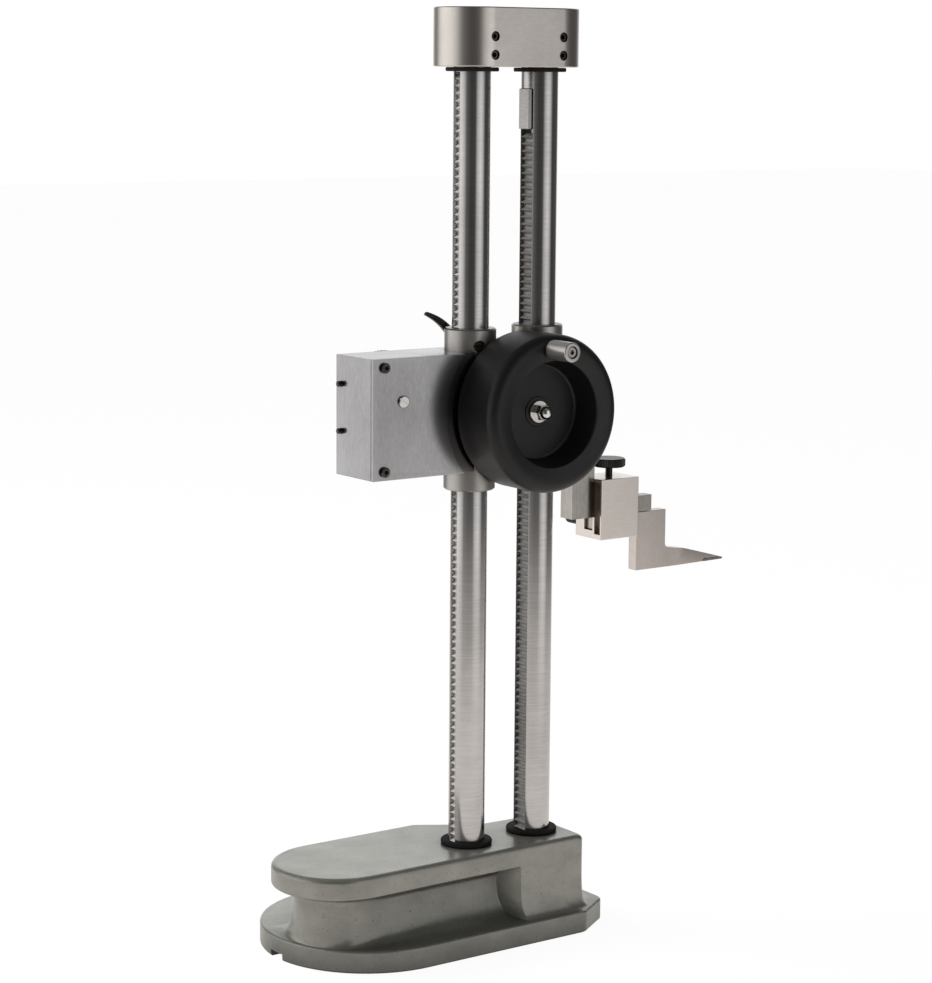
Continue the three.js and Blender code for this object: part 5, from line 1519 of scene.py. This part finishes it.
@dataclass
class HandWheel:
    """The dished handwheel on its shaft, with a cap nut and a turning crank handle."""

    sides: int = 160
    radius: float = 42.5
    back: float = 16.2
    back_edge: float = 0.7
    front: float = 47.5
    edge: float = 6.0
    crest: float = 34.0
    hollow_slope: float = 32.8
    hollow_radius: float = 37.4
    hollow_floor: float = 41.5
    dish_radius: float = 28.3
    dish_rim: float = 44.5
    dish_floor: float = 30.5
    dish_floor_radius: float = 26.0
    lip_round: float = 2.2
    lip_drop: float = 0.2
    floor_round: float = 1.5
    web_back: float = 26.0
    hub_radius: float = 9.0
    hub_back: float = 11.3
    step_radius: float = 8.0
    step_height: float = 0.8
    step_round: float = 0.3
    step_edge: float = 0.2
    bore: float = 4.15
    washer_bore: float = 2.65
    washer_radius: float = 6.0
    washer_edge: float = 0.2
    washer_back: float = 31.5
    nut_back: float = 32.7
    nut_front: float = 37.7
    nut_corner: float = 4.5
    nut_back_round: Pair = (4.1, 0.3)
    nut_front_round: Pair = (3.85, 0.6)
    dome_start: float = 34.0
    dome_radius: float = 3.7
    dome_centre: float = 37.6
    crank_place: Pair = (-3.2938, 34.8447)
    crank_radius: float = 5.3
    crank_edge: float = 0.9
    crank_root: float = 47.9
    crank_end: float = 65.2
    crank_bore: float = 2.2
    mouth_radius: float = 3.3
    mouth_edge: float = 0.2
    mouth_depth: float = 3.4
    screw_bore: float = 2.15
    screw_seat: float = 62.0
    screw: Screw = Screw(2.9, 2.4, 0.3, 2.0, 19.9, socket=1.5, depth=1.5)

    def wheel(self) -> Form:
        """Spins the wheel, hollow at the back.

        Returns:
            The wheel with the bore for the crank's screw.
        """
        lip = (self.dish_radius + self.lip_round, self.dish_rim + self.lip_drop)
        floor = (self.dish_floor_radius - self.floor_round, self.dish_floor + self.floor_round)
        step = self.dish_floor + self.step_height
        profile = [
            (self.bore, self.hub_back), (self.hub_radius, self.hub_back), (self.hub_radius, self.web_back),
            (self.dish_floor_radius, self.web_back), (self.hollow_slope, self.hollow_floor),
            (self.hollow_radius, self.hollow_floor), (self.hollow_radius, self.back),
            (self.radius - self.back_edge, self.back), (self.radius, self.back + self.back_edge),
            *arc((self.radius - self.edge, self.front - self.edge), self.edge, 0, 90, 16),
            (self.crest, self.front),
            *arc(lip, self.lip_round, 135, 180, 5), *arc(floor, self.floor_round, -8, -90, 5),
            (self.step_radius + self.step_round, self.dish_floor),
            (self.step_radius, self.dish_floor + self.step_round),
            (self.step_radius, step - self.step_edge), (self.step_radius - self.step_edge, step),
            (self.bore, step)]
        bore = Form.pin(self.screw_bore, -self.front - OVERRUN, -self.back, *self.crank_place)
        return self.spun(profile, self.sides).cut(bore)

    def spun(self, profile: Sequence[Pair], steps: int = MEDIUM) -> Form:
        """Spins a profile whose places count away from the column, towards the hand."""
        return Form.spun([(radius, -away) for radius, away in profile], Axis.Y, steps=steps)

    def nut(self) -> Form:
        """Makes the domed cap nut.

        Returns:
            The nut.
        """
        back, front, corner = self.nut_back, self.nut_front, self.nut_corner
        flats = Form.bar(corner, -front, -back, Axis.Y, steps=HEX)
        flats.combine("INTERSECT", self.spun([
            (0, front), (self.nut_front_round[0], front), (corner, front - self.nut_front_round[1]),
            (corner, back + self.nut_back_round[1]), (self.nut_back_round[0], back), (0, back)]))
        dome = arc((0, self.dome_centre), self.dome_radius, 0, 90, 10)
        return flats.join(self.spun([(0, self.dome_start), (self.dome_radius, self.dome_start), *dome[:-1],
                                     (0, self.dome_centre + self.dome_radius)]))

    def crank(self) -> Form:
        """Spins the crank handle.

        Returns:
            The handle with its bore and counterbore.
        """
        shoulder, root, end = self.crank_radius - self.crank_edge, self.crank_root, self.crank_end
        return self.spun([
            (self.crank_bore, root), (shoulder, root), (self.crank_radius, root + self.crank_edge),
            *arc((shoulder, end - self.crank_edge), self.crank_edge, 0, 90, 5),
            (self.mouth_radius + self.mouth_edge, end), (self.mouth_radius, end - self.mouth_edge),
            (self.mouth_radius, end - self.mouth_depth), (self.crank_bore, end - self.mouth_depth)])

    def make(self) -> None:
        """Makes the wheel and everything on its shaft."""
        self.wheel().on_slider().piece("wheel_body", "wheel", PHENOLIC, "handwheel", crease=50.0)
        dress(SATIN_PLATE, "drive_shaft", "rack_pinion")
        washer = Form.bar(self.washer_radius, -self.nut_back, -self.washer_back, Axis.Y,
                          edge=self.washer_edge, bore=self.washer_bore)
        washer.on_slider().piece("nut_washer", "wheel", CHROME, "hub_washer")
        self.nut().on_slider().piece("domed_nut", "wheel", CHROME, "cap_nut")
        self.crank().on_slider(*self.crank_place).piece("crank_grip", "crank", SATIN_CRANK, "crank_handle")
        screw = self.screw.form(-self.screw_seat).on_slider(*self.crank_place)
        screw.piece("crank_pin", "wheel", SATIN_PLATE, "crank_screw")


@dataclass
class ScriberArm:
    """The measuring arm, the clamp on its tongue, and the scriber with its carbide tip."""

    left: float = 44.6
    right: float = 60.2
    half: float = 3.5
    screw_heights: Pair = (-14.0, -32.0)
    screw_radius: float = 2.6
    screw_faces: Pair = (0.02, 1.4)
    screw_edge: float = 0.3
    socket_radius: float = 1.3
    socket_floor: float = 0.5
    arm_edge: float = 0.35
    plate_half: float = 5.2
    clamp_low: Triple = (60.4, -11.6, -78.8)
    clamp_high: Triple = (87.1, 11.6, -44.7)
    clamp_edge: float = 0.5
    window_low: Triple = (58.0, -3.7, -74.3)
    window_high: Triple = (90.0, 3.7, -57.0)
    slot_low: Triple = (58.0, -10.4, -76.0)
    slot_high: Triple = (66.4, -5.3, -46.6)
    blade_edge: float = 0.3
    tip_edge: float = 0.06
    knob_x: float = 74.6
    knob_bore: Triple = (2.15, -60.0, -40.0)
    knob_radius: float = 9.2
    knob_ends: Pair = (-39.3, -34.5)
    knob_knurls: int = 60
    knob_knurl: float = 0.35
    knob_edge: float = 0.5
    knob_shank: Triple = (2.0, -57.1, -36.0)
    side: Pair = (65.0, -70.4)
    side_bore: Triple = (1.75, 0.0, 15.0)
    side_radius: float = 3.3
    side_ends: Pair = (14.2, 23.2)
    side_knurls: int = 30
    side_knurl: float = 0.25
    side_edge: float = 0.4
    side_collar: Triple = (2.4, 11.8, 14.5)
    side_shank: Triple = (1.6, 3.7, 14.0)

    def arm(self) -> Form:
        """Makes the arm from the CAD plate with its tongue.

        Returns:
            The arm, thickened up to the clamp.
        """
        thick = Form.copied("measuring_arm")
        bmesh.ops.scale(thick.bm, vec=(1, self.plate_half / self.half, 1), verts=thick.bm.verts)
        thick.combine("INTERSECT", Form.brick((self.left - OVERRUN, -self.plate_half - OVERRUN, 0),
                                              (self.right, self.plate_half + OVERRUN, CROWN_HEIGHT)))
        return Form.copied("measuring_arm").join(thick)

    def clamp(self) -> Form:
        """Makes the clamp frame.

        Returns:
            The frame with its window, the slot beside it and the screw holes.
        """
        return Form.brick(self.clamp_low, self.clamp_high).soften(self.clamp_edge).cut(
            Form.brick(self.window_low, self.window_high),
            Form.brick(self.slot_low, self.slot_high),
            Form.bar(*self.knob_bore, centre=(self.knob_x, 0, 0), steps=SMALL),
            Form.pin(*self.side_bore, *self.side))

    def make(self) -> None:
        """Makes the arm, the clamp with its screws, and the scriber."""
        self.arm().soften(self.arm_edge).piece("arm_plate", "slider", GROUND_ARM, "measuring_arm")
        for row, z in zip(("upper", "lower"), self.screw_heights):
            back, front = self.screw_faces
            screw = Form.bar(self.screw_radius, self.right + back, self.right + front, Axis.X,
                             edge=self.screw_edge)
            screw.cut(Form.bar(self.socket_radius, self.right + self.socket_floor,
                               self.right + front + OVERRUN, Axis.X, steps=HEX))
            screw.on_slider(z=z).piece(f"arm_screw_{row}", "slider", BLACK_OXIDE)
        self.clamp().on_slider().piece("clamp_frame", "slider", SATIN_NICKEL, "scriber_clamp")
        Form.copied("scriber").soften(self.blade_edge).piece(
            "scriber_blade", "blade", SCRIBER_STEEL, "scriber")
        Form.copied("carbide_tip").soften(self.tip_edge, 1).piece(
            "carbide_edge", "blade", CARBIDE, "carbide_tip")
        knob = Form.knurled(self.knob_radius, self.knob_knurl, self.knob_knurls, *self.knob_ends, Axis.Z,
                            self.knob_edge)
        knob.join(Form.bar(*self.knob_shank, steps=SMALL)).on_slider(self.knob_x).piece(
            "clamp_knob_head", "knob", BLACK_OXIDE, "clamp_knob", crease=25.0)
        side = Form.knurled(self.side_radius, self.side_knurl, self.side_knurls, *self.side_ends, Axis.Y,
                            self.side_edge)
        side.join(Form.pin(*self.side_collar), Form.pin(*self.side_shank))
        side.on_slider(*self.side).piece("lock_screw", "lock", BLACK_OXIDE, "side_screw", crease=25.0)


@dataclass
class Studio:
    """The pale floor, the lamps, the surroundings that metal reflects, and the camera."""

    camera_place: Triple = (-862.6, -1160.8, 475.1)
    camera_azimuth: float = -35.829
    camera_pitch: float = 8.908
    camera_roll: float = 0.44
    focal_pixels: float = 2674.7
    picture_height: float = 983.0
    sensor_width: float = 36.0
    clip: Pair = (0.05, 50.0)
    floor_half: float = 9000.0
    floor_strength: float = 1.1
    floor_share: float = 0.86
    mirror_fade: Pair = (0.35, 1.6)
    dome_fade: Pair = (0.35, 0.75)
    dome_share: float = 0.9
    dome_level: float = 0.04
    ambient: float = 0.42
    lamp_place: Triple = (-1000.0, 900.0, 1300.0)
    lamp_target: Triple = (0.0, 0.0, 100.0)
    lamp_size: float = 1000.0
    lamp_watts: float = 20.0
    bands: tuple[Pair, ...] = (
        (-180, 1.0), (-158, 0.9), (-145, 0.2), (-124, 0.2), (-114, 0.9), (-95, 1.15), (-62, 1.0),
        (-44, 0.6), (-33, 0.16), (-5, 0.06), (24, 0.07), (36, 0.6), (56, 0.9), (66, 0.78), (74, 0.56),
        (88, 0.06), (140, 0.1), (160, 0.9), (180, 1.0))
    def floor(self) -> None:
        """Lays a white floor that keeps a faint shadow and that metal sees only nearby."""
        bm = bmesh.new()
        bmesh.ops.create_grid(bm, x_segments=1, y_segments=1, size=self.floor_half * MM)
        mesh = bpy.data.meshes.new("studio_floor")
        bm.to_mesh(mesh)
        bm.free()
        made = add_object("studio_floor", mesh)
        material = bpy.data.materials.new("studio_floor_white")
        material.use_nodes = True
        tree = material.node_tree
        tree.nodes.clear()
        dull = add_node(tree, "BsdfDiffuse", {"Color": linear("C9C9C8")})
        white = add_node(tree, "Emission", {"Color": grey(1), "Strength": self.floor_strength})
        pale = add_node(tree, "Emission", {"Color": linear("E6E2DE"), "Strength": 1.0})
        nothing = add_node(tree, "BsdfTransparent")
        rays = add_node(tree, "LightPath")
        seen = add_node(tree, "Math", {"operation": "MULTIPLY", 1: self.floor_share},
                        {0: rays.outputs["Is Camera Ray"]})
        plain = add_node(tree, "MixShader",
                         links={0: seen.outputs[0], 1: dull.outputs[0], 2: white.outputs[0]})
        place = add_node(tree, "TexCoord")
        away = add_node(tree, "VectorMath", {"operation": "LENGTH"}, {0: place.outputs["Object"]})
        near, far = self.mirror_fade
        fade = add_node(tree, "MapRange",
                        {"interpolation_type": "SMOOTHSTEP", "From Min": near, "From Max": far},
                        {"Value": away.outputs["Value"]})
        mirrored = add_node(tree, "MixShader",
                            links={0: fade.outputs["Result"], 1: pale.outputs[0], 2: nothing.outputs[0]})
        mix = add_node(tree, "MixShader",
                       links={0: rays.outputs["Is Glossy Ray"], 1: plain.outputs[0], 2: mirrored.outputs[0]})
        add_node(tree, "OutputMaterial", links={"Surface": mix.outputs[0]})
        mesh.materials.append(material)

    def world(self) -> None:
        """Sets a white world that metal sees as bright and dim bands of a studio."""
        world = bpy.data.worlds.new("studio_world")
        bpy.context.scene.world = world
        world.use_nodes = True
        tree = world.node_tree
        tree.nodes.clear()
        place = add_node(tree, "TexCoord").outputs["Generated"]
        heading = (0, 0, math.radians(90 - self.camera_azimuth))
        turned = add_node(tree, "Mapping", {"Rotation": heading}, {"Vector": place})
        around = add_node(tree, "TexGradient", {"gradient_type": "RADIAL"},
                          {"Vector": turned.outputs[0]})
        bands = add_node(tree, "ValToRGB", links={"Fac": around.outputs["Fac"]})
        ramp = bands.color_ramp
        for _ in range(len(self.bands) - len(ramp.elements)):
            ramp.elements.new(0.5)
        for element, (degrees, level) in zip(ramp.elements, self.bands):
            element.position = degrees / 360 + 0.5
            element.color = grey(level)
        height = add_node(tree, "SeparateXYZ", links={"Vector": place})
        low, high = self.dome_fade
        overhead = add_node(tree, "MapRange",
                            {"interpolation_type": "SMOOTHSTEP", "From Min": low, "From Max": high,
                             "To Max": self.dome_share}, {"Value": height.outputs["Z"]})
        domed = add_node(tree, "Mix", {"data_type": "RGBA", 7: grey(self.dome_level)},
                         {0: overhead.outputs["Result"], 6: bands.outputs[0]})
        rays = add_node(tree, "LightPath").outputs
        seen = add_node(tree, "Mix", {"data_type": "RGBA", 6: grey(self.ambient)},
                        {0: rays["Is Glossy Ray"], 7: domed.outputs[2]})
        for ray in ("Is Camera Ray", "Is Transmission Ray"):
            seen = add_node(tree, "Mix", {"data_type": "RGBA", 7: grey(1)},
                            {0: rays[ray], 6: seen.outputs[2]})
        light = add_node(tree, "Background", {"Strength": 1.0}, {"Color": seen.outputs[2]})
        add_node(tree, "OutputWorld", links={"Surface": light.outputs[0]})

    def lamp(self) -> None:
        """Hangs the soft square lamp that mirrors don't show."""
        data = bpy.data.lights.new("key_lamp", "AREA")
        data.shape = "SQUARE"
        data.size = self.lamp_size * MM
        data.energy = self.lamp_watts
        made = add_object("key_lamp", data)
        made.visible_glossy = False
        made.location = Vector(self.lamp_place) * MM
        way = Vector(self.lamp_target) - Vector(self.lamp_place)
        made.rotation_euler = way.to_track_quat("-Z", "Y").to_euler()

    def camera(self) -> None:
        """Sets up the camera at the photograph's viewing angle."""
        data = bpy.data.cameras.new("camera")
        data.sensor_fit = "AUTO"
        data.sensor_width = self.sensor_width
        data.lens = self.focal_pixels * data.sensor_width / self.picture_height
        data.clip_start, data.clip_end = self.clip
        made = add_object("camera", data)
        azimuth, pitch = math.radians(self.camera_azimuth), math.radians(self.camera_pitch)
        turn = Matrix.Rotation(azimuth, 4, "Z") @ Matrix.Rotation(math.radians(90) - pitch, 4, "X")
        turn = turn @ Matrix.Rotation(math.radians(self.camera_roll), 4, "Z")
        made.matrix_world = Matrix.Translation(Vector(self.camera_place) * MM) @ turn
        bpy.context.scene.camera = made

    def make(self) -> None:
        """Makes the studio."""
        bpy.context.scene.view_settings.view_transform = "Standard"
        self.floor()
        self.world()
        self.lamp()
        self.camera()


def main() -> None:
    """Builds the gauge's sub-assemblies and the studio in order."""
    logging.basicConfig(level=logging.INFO, format="%(message)s")
    gauge = (BaseCasting(), Columns(), SliderBody(), GearCase(), DialSide(), HandWheel(), ScriberArm())
    for part in (*gauge, Studio()):
        part.make()


if __name__ == "__main__":
    main()
